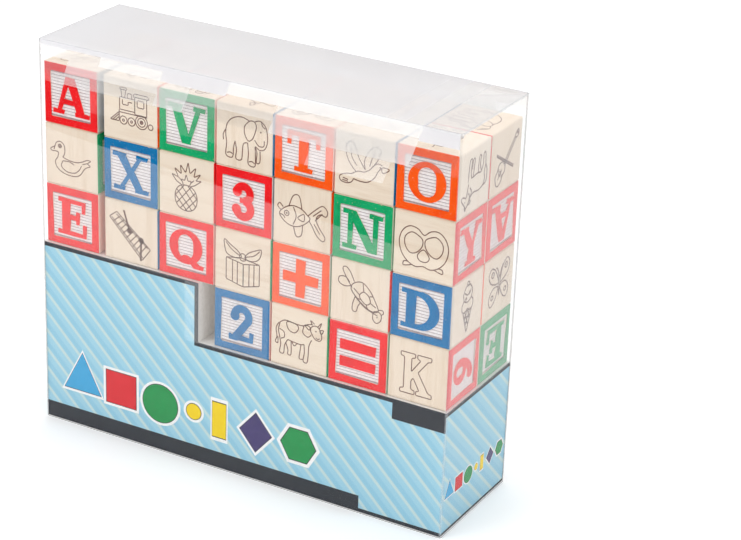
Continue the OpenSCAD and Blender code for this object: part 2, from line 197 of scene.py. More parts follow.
@dataclass(frozen=True)
class StampedPaint:
    """Enamel rolled on the raised pressing: even and satin, with pinholes to the wood."""

    name: str
    colour: str
    deep: str
    wood: str = "#e9d3ba"
    mottle_width: float = 2.4  # mm, patches that the roller leaves
    pinhole_width: float = 0.32  # mm, drawn coarse to show

    def build(self) -> bpy.types.Material:
        """Makes the material.

        Returns:
            The material.
        """
        material, tree, shader, place = new_material(self.name)
        mottle = add(tree, "TexNoise", {"Scale": noise_scale(self.mottle_width), "Detail": 4.0,
                                        "Roughness": 0.7}, {"Vector": place})
        tone = add(tree, "ValToRGB", links={"Fac": mottle.outputs["Fac"]},
                   stops=[(0.35, self.deep), (0.55, self.colour)])
        grit = add(tree, "TexNoise", {"Scale": noise_scale(self.pinhole_width), "Detail": 2.0},
                   {"Vector": place})
        worn = add(tree, "ValToRGB", links={"Fac": grit.outputs["Fac"]},
                   stops=[(0.69, "#000000"), (0.74, "#ffffff")])
        mixed = add(tree, "MixRGB", {"Color2": srgb(self.wood)},
                    {"Fac": worn.outputs[0], "Color1": tone.outputs[0]})
        rough = add(tree, "MapRange", {"To Min": 0.42, "To Max": 0.6}, {"Value": mottle.outputs["Fac"]})
        bump = add(tree, "Bump", {"Strength": 0.3, "Distance": 0.03 * MM}, {"Height": grit.outputs["Fac"]})
        # a low specular level, because the real paint shows next to no gloss
        wire(shader, {"Specular IOR Level": 0.1},
             {"Base Color": mixed.outputs[0], "Roughness": rough.outputs[0], "Normal": bump.outputs[0]})
        return material


@dataclass(frozen=True)
class SpottedFinish:
    """What the finishes of one fine pattern share: spots of a second colour and, in some, a low tooth."""

    name: str
    colour: str  # where the pattern is high
    shade: str  # where it is low
    roughness: float = 0.7
    spot_width: float = 0.9  # mm, drawn coarse to show
    detail: float = 3.0
    from_shade: float = 0.3  # the shade turns to the colour between these heights of the pattern
    to_colour: float = 0.6
    tooth: float = 0.0  # strength of the bump
    tooth_height: float = 0.02  # mm
    glow: float = 0.0

    def build(self) -> bpy.types.Material:
        """Makes the material.

        Returns:
            The material.
        """
        material, tree, shader, place = new_material(self.name)
        spots = add(tree, "TexNoise", {"Scale": noise_scale(self.spot_width), "Detail": self.detail},
                    {"Vector": place})
        tone = add(tree, "ValToRGB", links={"Fac": spots.outputs["Fac"]},
                   stops=[(self.from_shade, self.shade), (self.to_colour, self.colour)])
        wire(shader, {"Roughness": self.roughness, "IOR": 1.5, "Emission Color": srgb(self.colour),
                      "Emission Strength": self.glow}, {"Base Color": tone.outputs[0]})
        if self.tooth:
            bump = add(tree, "Bump", {"Strength": self.tooth, "Distance": self.tooth_height * MM},
                       {"Height": spots.outputs["Fac"]})
            wire(shader, links={"Normal": bump.outputs[0]})
        return material


@dataclass(frozen=True)
class PressedFibre(SpottedFinish):
    """Wood crushed by the die: whiter and drier than the sanded face, with short torn fibres. Its darker copy
    paints the shade in the grooves between the reeds.
    """

    roughness: float = 0.75
    spot_width: float = 0.5
    tooth: float = 0.3
    tooth_height: float = 0.05


@dataclass(frozen=True)
class LinePrintInk(SpottedFinish):
    """Brown printing ink on bare wood: matt, and starved to its lighter colour where the wood is open."""

    roughness: float = 0.6
    spot_width: float = 0.4
    detail: float = 2.0
    from_shade: float = 0.42
    to_colour: float = 0.66


@dataclass(frozen=True)
class PlainCard(SpottedFinish):
    """The card's unprinted side or a solid print on it: white or one ink, with the tooth of the board."""

    tooth: float = 0.15


@dataclass(frozen=True)
class MattFloor(SpottedFinish):
    """A matt white paper sweep on a dimly lit table, faintly uneven."""

    name: str = "floor_matt_white_paper"
    colour: str = "#ffffff"
    shade: str = "#fbfbfb"
    roughness: float = 0.9
    spot_width: float = 55.56
    detail: float = 2.0
    to_colour: float = 0.7
    glow: float = 0.18


@dataclass(frozen=True)
class StripedPrintedCard:
    """Offset-printed folding boxboard: varnished blue print with slanted stripes, fine paper tooth."""

    name: str
    across: tuple[float, float, float]  # how x, y and z add up across the stripes
    pale: str = "#a5d7ea"
    mid: str = "#98cfe6"
    line: str = "#cae3e4"
    pitch: float = 6.1  # mm across the stripes
    tooth_width: float = 0.5  # mm, drawn coarse to show

    def build(self) -> bpy.types.Material:
        """Makes the material.

        Returns:
            The material.
        """
        material, tree, shader, place = new_material(self.name)
        across = Vector(self.across).normalized() / (self.pitch * MM)
        run = add(tree, "VectorMath", {1: tuple(across)}, {0: place}, operation="DOT_PRODUCT")
        share = add(tree, "Math", {}, {0: run.outputs["Value"]}, operation="FRACT")
        stripes = add(tree, "ValToRGB", links={"Fac": share.outputs[0]},
                      stops=[(0.0, self.line), (0.14, self.line), (0.22, self.mid), (0.5, self.mid),
                             (0.62, self.pale), (0.92, self.pale), (1.0, self.line)])
        paper = add(tree, "TexNoise", {"Scale": noise_scale(self.tooth_width), "Detail": 2.0},
                    {"Vector": place})
        bump = add(tree, "Bump", {"Strength": 0.08, "Distance": 0.02 * MM}, {"Height": paper.outputs["Fac"]})
        rough = add(tree, "MapRange", {"To Min": 0.26, "To Max": 0.38}, {"Value": paper.outputs["Fac"]})
        wire(shader, links={"Base Color": stripes.outputs[0], "Normal": bump.outputs[0],
                            "Roughness": rough.outputs[0]})
        return material


@dataclass(frozen=True)
class ClearFoldedPet:
    """Calendered PET sheet: clear, glossy, with long soft ripples and a faint grey cast. A paler or greyer
    tint with more alpha turns it into a painted reflection or painted shade.
    """

    name: str
    alpha: float
    tint: str = "#2c3034"
    index: float = 1.57  # the refractive index of PET
    ripple_width: float = 34.0  # mm, waves that the rollers leave
    scuff_width: float = 1.5  # mm

    def build(self) -> bpy.types.Material:
        """Makes the material.

        Returns:
            The material.
        """
        material, tree, shader, place = new_material(self.name)
        ripple = add(tree, "TexNoise", {"Scale": noise_scale(self.ripple_width), "Detail": 1.0},
                     {"Vector": place})
        scuff = add(tree, "TexNoise", {"Scale": noise_scale(self.scuff_width), "Detail": 3.0},
                    {"Vector": place})
        bump = add(tree, "Bump", {"Strength": 0.25, "Distance": 1.2 * MM}, {"Height": ripple.outputs["Fac"]})
        rough = add(tree, "MapRange", {"To Min": 0.02, "To Max": 0.06}, {"Value": scuff.outputs["Fac"]})
        wire(shader, {"Base Color": srgb(self.tint), "IOR": self.index, "Alpha": self.alpha},
             {"Normal": bump.outputs[0], "Roughness": rough.outputs[0]})
        return material


PAINTS = {
    "r": StampedPaint("enamel_red_rolled", "#f6151d", "#e90e17"),
    "o": StampedPaint("enamel_orange_rolled", "#ff5a02", "#f84e00"),
    "g": StampedPaint("enamel_green_rolled", "#04a868", "#03985a"),
    "b": StampedPaint("enamel_blue_rolled", "#0277b2", "#026aa2"),
}
PAINT_ORDER = "rogb"
WOODS = [
    SandedBasswood("basswood_sanded_pale", "#f0e1cf", "#e8d5bf", GrainAxis.ALONG_X, shift=0.013),
    SandedBasswood("basswood_sanded_warm", "#efdfcb", "#e5d1ba", GrainAxis.ALONG_X, shift=0.171),
    SandedBasswood("basswood_sanded_upright", "#f1e4d4", "#e9d9c5", GrainAxis.ALONG_Z, shift=0.057),
    SandedBasswood("basswood_sanded_cream", "#eeddc9", "#e4d0b8", GrainAxis.ALONG_Z, shift=0.223),
]
REED_LIGHT = PressedFibre("basswood_die_pressed_reed", "#f5f0f0", "#eae1df")
# painted shade: a greyer, darker copy of the pressed wood for the ground between the reeds
GROOVE_PAINTED_SHADE = PressedFibre("basswood_groove_painted_shade", "#b9abae", "#a3949a")
PICTURE_INK = LinePrintInk("ink_brown_pad_printed", "#855c4b", "#5f3428")
CLEAR = ClearFoldedPet("pet_sheet_calendered", 0.02)
# grey painted shade on the sheet's upright folds, darker on the left-front and right-rear folds, and along
# its cut edges
CREASE_PAINTED_SHADE = ClearFoldedPet("pet_sheet_crease_painted_shade", 0.2, tint="#d5dade")
TIGHT_CREASE_PAINTED_SHADE = ClearFoldedPet("pet_sheet_tight_crease_painted_shade", 0.5, tint="#a9a5a3")
CUT_EDGE_PAINTED_SHADE = ClearFoldedPet("pet_sheet_cut_edge_painted_shade", 0.45, tint="#c3c9ce")
# painted reflections: white tints with some alpha that stand in for the bright room mirrored in the sheet
PAINTED_REFLECTION_THIN, PAINTED_REFLECTION_SOFT, PAINTED_REFLECTION_DOUBLED, PAINTED_REFLECTION_GLOWING, PAINTED_REFLECTION_BRIGHT = (
    ClearFoldedPet(f"pet_sheet_{word}_painted_reflection", share, tint="#ffffff")
    for word, share in (("thin", 0.035), ("soft", 0.07), ("doubled", 0.18), ("glowing", 0.33),
                        ("bright", 0.6)))
# a nearly opaque pale painted reflection along the top of the walls
PAINTED_REFLECTION_VEIL = ClearFoldedPet("pet_sheet_veiled_painted_reflection", 0.78, tint="#efeef1")
WALL_LOOKS = (CLEAR, CREASE_PAINTED_SHADE, TIGHT_CREASE_PAINTED_SHADE, CUT_EDGE_PAINTED_SHADE, PAINTED_REFLECTION_THIN, PAINTED_REFLECTION_SOFT, PAINTED_REFLECTION_DOUBLED, PAINTED_REFLECTION_GLOWING,
              PAINTED_REFLECTION_BRIGHT, PAINTED_REFLECTION_VEIL)
# where a long wall gets a painted reflection of the bright room: from x, to x, from z, to z (mm) and the
# painted reflection there; of two zones that share a place the first counts
PAINTED_REFLECTION_ZONES = (
    (-66.0, -37.5, 157.5, 161.5, PAINTED_REFLECTION_BRIGHT),
    (-91.0, -66.0, 157.5, 161.5, PAINTED_REFLECTION_GLOWING),
    (-8.5, 73.0, 158.5, 164.0, PAINTED_REFLECTION_BRIGHT),
    (-66.0, -8.5, 157.5, 164.0, PAINTED_REFLECTION_VEIL),
    (73.0, 91.0, 157.5, 164.0, PAINTED_REFLECTION_VEIL),
    (-91.0, -66.0, 161.5, 164.0, PAINTED_REFLECTION_VEIL),
    (14.0, 73.0, 147.0, 158.5, PAINTED_REFLECTION_GLOWING),
    (-37.5, -24.0, 147.0, 164.0, PAINTED_REFLECTION_GLOWING),
    (-80.0, -37.5, 152.0, 157.5, PAINTED_REFLECTION_GLOWING),
    (-80.0, -37.5, 147.0, 152.0, PAINTED_REFLECTION_DOUBLED),
    (-80.0, 14.0, 152.0, 164.0, PAINTED_REFLECTION_DOUBLED),
    (-24.0, -8.5, 147.0, 152.0, PAINTED_REFLECTION_SOFT),
    (-93.0, -80.0, 147.0, 157.5, PAINTED_REFLECTION_SOFT),
    (33.0, 66.0, 138.0, 147.0, PAINTED_REFLECTION_DOUBLED),
    (-93.0, 93.0, 147.0, 164.0, PAINTED_REFLECTION_THIN),
    (-66.0, 33.0, 138.0, 147.0, PAINTED_REFLECTION_THIN),
    (-93.0, 66.0, 78.4, 120.5, PAINTED_REFLECTION_SOFT),
    (-93.0, 93.0, 78.4, 120.5, PAINTED_REFLECTION_THIN),
    (-24.0, 14.0, 53.0, 78.4, PAINTED_REFLECTION_SOFT),
    (-24.0, 93.0, 53.0, 78.4, PAINTED_REFLECTION_THIN),
)
# painted reflections on the lid: a pale grey tint with high alpha that stands in for the room mirrored in it
LID_PAINTED_REFLECTION = ClearFoldedPet("pet_sheet_lid_painted_reflection", 0.72, tint="#e2e1e3")
LID_END_PAINTED_REFLECTION = ClearFoldedPet("pet_sheet_end_painted_reflection", 0.34, tint="#e2e1e1")
# the lid's looks: its painted reflection, the flap, and the painted reflection's fading steps from an x (mm)
# to the right end
LID_LOOKS = (LID_PAINTED_REFLECTION, CLEAR, LID_END_PAINTED_REFLECTION, ClearFoldedPet("pet_sheet_fading_painted_reflection", 0.48, tint="#e2e1e2"),
             ClearFoldedPet("pet_sheet_soft_fading_painted_reflection", 0.62, tint="#e2e1e3"))
LID_SLOT, TUCK_SLOT, END_SLOT, FADING_SLOT, SOFT_FADING_SLOT = range(len(LID_LOOKS))
LID_STEPS = ((76.0, END_SLOT), (69.0, FADING_SLOT), (61.0, SOFT_FADING_SLOT))
CARD_FRONT = StripedPrintedCard("boxboard_printed_front", (0.7, 0.0, 0.714))
CARD_SIDE = StripedPrintedCard("boxboard_printed_side", (0.0, 0.7, 0.714))
CARD_WHITE = PlainCard("boxboard_white_back", "#f1f0ee", "#e6e5e3")
CARD_DARK = PlainCard("boxboard_charcoal_print", "#30343c", "#2a2d34", roughness=0.4)
CARD_INKS = {
    word: PlainCard(f"boxboard_{word}_print", colour, shade, roughness=0.35) for word, colour, shade in (
        ("blue", "#45aee2", "#3fa6da"), ("red", "#e62630", "#dd2029"), ("green", "#1d9a50", "#189048"),
        ("yellow", "#fddc08", "#f8d300"), ("violet", "#4b4076", "#443a6c"), ("white", "#ffffff", "#f7f7f7"))
}
CARD_INKS["dark"] = CARD_DARK
MADE: dict[str, bpy.types.Material] = {}
Finish = SandedBasswood | StampedPaint | SpottedFinish | StripedPrintedCard | ClearFoldedPet


def finish(kind: Finish) -> bpy.types.Material:
    """Gives the material of a finish, made once.

    Args:
        kind: the finish.

    Returns:
        Its material.
    """
    if kind.name not in MADE:
        MADE[kind.name] = kind.build()
    return MADE[kind.name]


# Pictures

# each picture lies in a square of 100 by 100. A stroke is a letter and numbers: p open curve, z closed curve,
# l open straight, q closed straight, c circle (x y r), d solid dot (x y r).
PICTURES = {
    "train": (
        "q 28 50 60 50 60 73 28 73|l 34 69 34 60 46 60 46 66 54 66|q 60 46 85 46 85 78 60 78|"
        "q 56 78 90 78 87 84 59 84|q 65 60 79 60 79 73 65 73|q 33 73 31 87 41 87 39 73|"
        "q 29 87 29 91 43 91 43 87|p 45 73 45 81 53 81 53 73|q 8 28 27 45 27 28|l 13 28 27 41|l 18 28 27 36|"
        "l 27 45 86 45|c 36 31 7.5|c 36 31 2|c 53 31 7.5|c 53 31 2|c 74 34 12.5|c 74 34 8|d 74 34 4|"
        "c 93 29 5|l 27 45 27 50"),
    "elephant": (
        "p 60 84 44 88 27 83 16 71 13 54 15 36 14 14 27 12 29 30 32 42|"
        "p 32 42 35 27 34 11 45 11 47 28 49 41 57 44|p 57 44 59 26 59 6 72 4 73 22 72 40|"
        "p 72 40 76 30 75 12 82 14 82 34|z 61 84 51 73 51 59 58 48 66 52 71 63 74 76 70 84|"
        "p 70 84 81 88 92 80 96 66 96 50 90 38 80 36 73 41|p 71 52 79 43 89 44 90 54|d 83 68 1.6|"
        "p 84 88 86 80 92 76|p 13 60 8 50 9 40|p 16 18 22 20 27 18|p 60 10 66 12 72 9"),
    "dove": (
        "p 26 34 14 32 4 26 6 18 18 16 27 20 30 26|p 30 26 44 24 58 26 70 36 76 48 84 57|"
        "z 84 57 97 56 91 50 84 48|p 84 60 76 62 68 57 60 48 50 42 38 41 26 34|"
        "p 34 40 20 56 14 76 20 90 30 88 36 72 42 60 52 46|p 52 46 50 62 58 80 70 90 80 86 76 70 66 54|"
        "d 80 56 1.5|p 24 80 26 64 36 50|p 70 80 64 68 60 54|l 10 24 20 22|l 9 20 20 19"),
    "duck": (
        "p 31 48 35 55 36 64 33 73 25 77 17 73 14 66 5 60 8 56 17 57 22 55|l 14 66 12 59|"
        "p 22 55 20 46 15 38 17 28 27 20 43 16 60 17 70 23 76 32 82 38 91 43 85 47 92 53 84 53 74 48 62 44 "
        "49 44 38 46 31 48|p 31 41 28 30 40 22 57 23 67 31 72 40|p 31 41 45 42 56 38|l 84 47 74 43|"
        "d 25 68 2|c 25 68 3.4"),
    "pineapple": (
        "z 50 6 36 10 28 22 28 38 36 50 50 54 64 50 72 38 72 22 64 10|l 30 17 60 52|l 38 9 70 44|"
        "l 48 6 72 32|l 28 32 46 53|l 70 17 40 52|l 62 9 30 44|l 52 6 28 32|l 72 32 54 53|"
        "l 41 53 30 58 20 70 34 66 26 82 40 73 38 90 49 77 54 97 58 77 70 90 66 72 80 80 70 66 82 68 68 57 "
        "59 53|l 44 54 40 64 47 62 50 74 54 62 61 64 57 54|l 34 66 42 60|l 66 66 60 60"),
    "fish": (
        "z 6 46 14 58 30 66 48 64 62 54 66 48 54 36 38 29 20 32|"
        "p 62 54 74 66 90 78 100 70 97 60 86 62 78 52 84 38 96 22 92 14 80 22 70 38 64 46|"
        "p 24 63 32 84 44 86 50 63|p 34 29 40 12 50 16 52 34|c 20 50 4.6|d 20 50 1.8|p 33 64 39 48 33 32|"
        "p 6 46 13 45 17 40|z 42 46 54 55 54 42|l 72 56 88 70|l 76 48 90 64|l 74 42 86 26|"
        "p 8 54 2 60 6 66 13 60"),
    "pretzel": (
        "z 50 16 64 13 80 20 92 35 96 55 90 73 77 83 62 81 50 72 38 81 23 83 10 73 4 55 8 35 20 20 36 13|"
        "z 42 68 27 73 15 63 15 48 24 36 36 38 46 49 48 61|"
        "z 58 68 73 73 85 63 85 48 76 36 64 38 54 49 52 61|z 50 46 61 34 56 25 44 25 39 34|"
        "p 22 19 14 18 13 11 21 12 30 15|p 78 19 86 18 87 11 79 12 70 15"),
    "chimes": (
        "q 4 74 20 86 92 28 74 4|l 13 67 28 79|l 20 60 35 73|l 27 53 42 68|l 33 47 49 62|l 40 40 56 56|"
        "l 47 33 63 50|l 54 26 70 45|l 60 20 77 40|l 67 13 84 34|l 9 74 76 9|l 19 81 87 29|d 47 55 5.6|"
        "l 46 55 34 92|l 48 55 36 92|d 72 42 5.6|l 71 42 70 2|l 73 42 72 2"),
    "gift": (
        "q 17 14 17 55 52 49 52 6|q 52 6 52 49 85 55 85 15|l 17 55 48 60 85 55|l 30 11 30 53|l 40 9 40 51|"
        "l 64 9 64 51|l 74 12 74 53|z 48 62 40 72 26 80 13 88 14 72 20 61 38 58|"
        "z 55 62 62 72 76 80 88 84 86 70 78 61 64 58|z 46 57 44 64 51 69 57 64 56 57 50 55|"
        "p 16 84 28 72 44 64|p 85 81 74 70 58 64"),
    "turtle": (
        "z 38 69 54 74 69 63 80 46 87 29 75 25 58 33 43 45 33 58|z 50 50 58 57 68 51 71 40 63 35 53 42|"
        "l 50 50 38 60|l 58 57 56 72|l 68 51 76 53|l 71 40 82 34|l 63 35 66 28|l 53 42 46 43|"
        "z 78 25 77 12 84 6 92 12 93 23 86 28|p 35 60 25 74 16 91 22 96 31 88 39 72|"
        "p 42 46 37 31 37 19 44 18 48 30 53 36|p 33 63 20 60 9 65 10 75 22 77 30 69|"
        "p 34 55 47 40 63 28 86 20|d 85 17 1.2|p 87 31 95 32 97 27 93 23"),
    "cow": (
        "p 12 75 23 81 41 79 58 79 68 84 76 86|p 12 75 9 60 12 45 14 33 12 18 20 17 22 33 28 45|"
        "p 28 45 41 43 54 42 61 44|p 61 44 62 28 60 12 68 11 70 29 71 44 76 56|"
        "p 24 39 29 25 28 18 35 18 35 43|p 55 42 53 27 52 15 59 15|"
        "z 73 76 79 84 89 83 96 68 93 59 84 59 78 65|p 77 85 73 93 81 88|p 88 85 95 93 91 82|"
        "z 72 80 62 82 70 74|z 92 78 99 80 95 72|p 10 74 4 62 6 46 3 36 8 34 8 46|"
        "z 26 79 29 65 41 61 49 70 45 78|p 11 62 20 58 21 48 14 44|p 60 79 58 66 68 60 75 66|d 84 75 1.4|"
        "p 37 43 41 36 47 42|p 84 63 88 61 92 63"),
    "outline_k": (
        "q 17 8 17 15 24 17 24 75 17 77 17 84 45 84 45 77 38 75 38 50 55 74 49 77 49 84 76 84 76 77 69 75 51 "
        "51 71 17 78 15 78 8 48 8 48 15 54 17 42 39 38 33 38 17 45 15 45 8"),
    "horse": (
        "p 20 70 34 74 52 72 64 78 74 90 80 92 84 86|p 84 86 94 76 92 70 84 72 78 74 74 62 72 52|"
        "p 20 70 14 60 16 48 12 34 14 14 20 14 21 32 28 44|p 28 44 42 42 56 44 62 44|"
        "p 62 44 64 30 62 12 69 12 72 30 74 48|p 27 42 32 28 29 15 35 14 38 30 38 42|"
        "p 56 43 54 28 52 14 58 13 60 30|p 20 70 8 66 6 48 10 36|p 64 78 60 68 66 60|p 70 86 66 76 70 68|"
        "d 82 81 1.4|p 79 91 80 97 84 90|p 68 82 62 84 66 88 72 88"),
    "violin": (
        "z 14 12 10 26 18 36 22 44 30 48 42 46 46 36 44 28 36 22 32 14 22 8|l 40 42 80 82|l 44 38 84 78|"
        "z 79 81 88 90 93 87 91 80 84 77|d 88 85 3|l 12 64 78 26|l 12 67 79 29|c 27 29 4|l 20 20 34 34|"
        "p 24 38 20 34|p 36 26 32 20"),
    "ice_cream": (
        "l 34 46 50 4 66 46|l 38 36 60 30|l 42 25 56 20|l 40 46 55 17|l 50 46 60 30|l 60 46 45 17|"
        "l 50 46 41 28|z 32 47 30 58 36 66 34 78 43 90 57 90 66 78 64 66 70 58 68 47 58 43 50 48 42 43|"
        "p 36 66 50 60 64 66|p 38 80 50 73 62 80|c 50 94 4|c 44 68 2|c 56 76 2"),
    "butterfly": (
        "z 49 55 36 79 20 87 11 75 20 60 40 52|z 55 55 64 80 80 90 90 77 82 61 62 52|"
        "z 43 47 27 46 14 31 21 15 37 22 48 42|z 60 47 76 47 88 33 82 17 67 23 56 42|c 26 74 5|c 76 77 5|"
        "c 27 31 4|c 76 32 4|d 26 74 1.6|d 76 77 1.6|z 49 60 52 65 55 60 54 42 52 28 50 42|"
        "p 50 63 46 76 38 84|p 54 63 58 76 66 84"),
    "apple": (
        "z 50 70 40 76 26 72 17 58 19 38 31 19 44 15 50 18 56 15 69 19 81 38 83 58 74 72 60 76|"
        "p 50 70 50 80 56 89|z 54 79 64 88 76 87 67 78|p 28 60 27 50 30 42"),
    "boat": (
        "q 12 34 88 34 74 14 26 14|l 50 34 50 90|q 54 40 54 86 82 40|q 46 40 46 76 20 40|"
        "p 6 10 18 14 30 8 42 14 54 8 66 14 78 8 92 12"),
    "house": (
        "q 22 10 22 52 78 52 78 10|q 12 52 50 86 88 52|q 42 10 42 34 58 34 58 10|q 27 36 27 46 37 46 37 36|"
        "q 63 36 63 46 73 46 73 36|l 66 71 66 84 75 84 75 64|c 50 66 5"),
    "flower": (
        "c 50 62 7|c 50 78 8|c 64 70 8|c 64 54 8|c 50 46 8|c 36 54 8|c 36 70 8|p 50 38 48 24 50 6|"
        "z 50 18 62 30 74 28 62 16"),
    "umbrella": (
        "p 10 50 20 74 50 88 80 74 90 50|p 10 50 20 57 30 50 40 57 50 50 60 57 70 50 80 57 90 50|"
        "p 30 50 36 72 50 88|p 70 50 64 72 50 88|p 50 88 50 20 56 11 65 14 65 22|l 50 88 50 95"),
    "moon": (
        "z 62 90 36 82 22 60 25 36 42 17 66 12 51 28 46 49 50 72|"
        "q 76 74 79 66 87 66 81 60 84 52 76 57 69 52 72 60 66 66 74 66"),
    "leaf": (
        "z 16 16 20 48 40 74 84 88 78 52 54 26|l 8 8 74 78|l 34 36 34 58|l 38 40 60 40|l 50 53 50 72|"
        "l 54 58 74 58"),
    "star": "q 50 94 61 63 94 62 68 43 79 10 50 30 21 10 32 43 6 62 39 63",
    "heart": "z 50 16 26 38 12 60 20 80 37 84 50 71 63 84 80 80 88 60 74 38",
    "mushroom": (
        "z 12 48 22 74 50 88 78 74 88 48 64 44 36 44|p 38 44 40 26 33 12 67 12 60 26 62 44|c 34 64 5|"
        "c 55 72 6|c 70 58 4"),
    "cup": (
        "q 26 18 18 64 68 64 60 18|p 67 56 82 58 86 42 63 30|p 34 72 29 81 36 90|p 50 72 45 81 52 90|"
        "l 20 54 66 54"),
    "kite": "q 50 94 78 62 50 22 22 62|l 50 94 50 22|l 22 62 78 62|p 50 22 42 15 54 9 46 2",
    "ball": "c 50 50 34|p 18 60 50 70 82 60|p 18 40 50 30 82 40|d 50 50 5",
}
# pictures for the sides that neighbours hide, and for the other sides that show
EASY = ["star", "heart", "moon", "ball", "kite", "boat", "leaf", "apple"]
# by row and column on the front, and by layer and row on the right side, with the picture's quarter turns
FRONT_PICTURES = {
    (1, 2): "train", (1, 4): "elephant", (1, 6): "dove", (2, 1): "duck", (2, 3): "pineapple", (2, 5): "fish",
    (2, 7): "pretzel", (3, 2): "chimes", (3, 4): "gift", (3, 6): "turtle", (4, 5): "cow", (4, 7): "outline_k",
}
RIGHT_PICTURES = {
    ("front", 1): ("horse", 2), ("rear", 1): ("violin", 0),
    ("front", 3): ("ice_cream", 0), ("rear", 3): ("butterfly", 0),
}
OTHERS = ["house", "umbrella", "flower", "mushroom", "cup", "apple", "boat", "leaf", "kite", "cow", "duck",
          "turtle", "pretzel", "elephant", "moon", "fish", "dove", "train", "star", "butterfly", "gift",
          "horse", "ice_cream"]


def smooth_line(points: list[tuple[float, float]], closed: bool, steps: int) -> list[tuple[float, float]]:
    """Runs a smooth curve through points.

    Args:
        points: the points.
        closed: whether the curve closes.
        steps: how many pieces each span gets.

    Returns:
        The points of the curve.
    """
    count = len(points)
    out = []
    spans = count if closed else count - 1
    for i in range(spans):
        near = [i + k if closed else min(max(i + k, 0), count - 1) for k in (-1, 0, 1, 2)]
        a, b, c, d = (points[k % count] for k in near)
        for s in range(steps):
            t = s / steps
            out.append(tuple(
                0.5 * (2 * b[k] + (c[k] - a[k]) * t + (2 * a[k] - 5 * b[k] + 4 * c[k] - d[k]) * t * t
                       + (3 * b[k] - a[k] - 3 * c[k] + d[k]) * t ** 3) for k in (0, 1)))
    if not closed:
        out.append(points[-1])
    return out


def circle(x: float, y: float, r: float, count: int) -> list[tuple[float, float]]:
    """Gives the points of a circle."""
    angles = [2 * math.pi * i / count for i in range(count)]
    return [(x + r * math.cos(a), y + r * math.sin(a)) for a in angles]


# Mesh tools


@dataclass(frozen=True)
class Layer:
    """How a thin solid lies on a side: its underside and top, out from the middle in mm, and its finish."""

    low: float
    high: float
    slot: int


@dataclass(frozen=True)
class Side:
    """One side of a block or of the card: where its middle is and which way it faces."""

    middle: Vector
    right: Vector
    up: Vector
    out: Vector

    def at(self, x: float, y: float, depth: float) -> Vector:
        """Gives the point at x, y on the side, that far out from the middle."""
        return self.middle + self.right * x + self.up * y + self.out * depth

    def turned(self, quarters: int) -> "Side":
        """Gives the side with its picture turned anticlockwise."""
        right, up = self.right, self.up
        for _ in range(quarters % 4):
            right, up = up, -right
        return Side(self.middle, right, up, self.out)


class Facing(Enum):
    """The six ways a side can face, with its right-hand and upward directions."""

    FRONT = ((1, 0, 0), (0, 0, 1), (0, -1, 0))
    REAR = ((-1, 0, 0), (0, 0, 1), (0, 1, 0))
    RIGHT = ((0, 1, 0), (0, 0, 1), (1, 0, 0))
    LEFT = ((0, -1, 0), (0, 0, 1), (-1, 0, 0))
    TOP = ((1, 0, 0), (0, 1, 0), (0, 0, 1))
    UNDER = ((1, 0, 0), (0, -1, 0), (0, 0, -1))

    def side(self, middle: Vector) -> Side:
        """Gives this side of a block with that middle."""
        return Side(middle, *(Vector(v) for v in self.value))


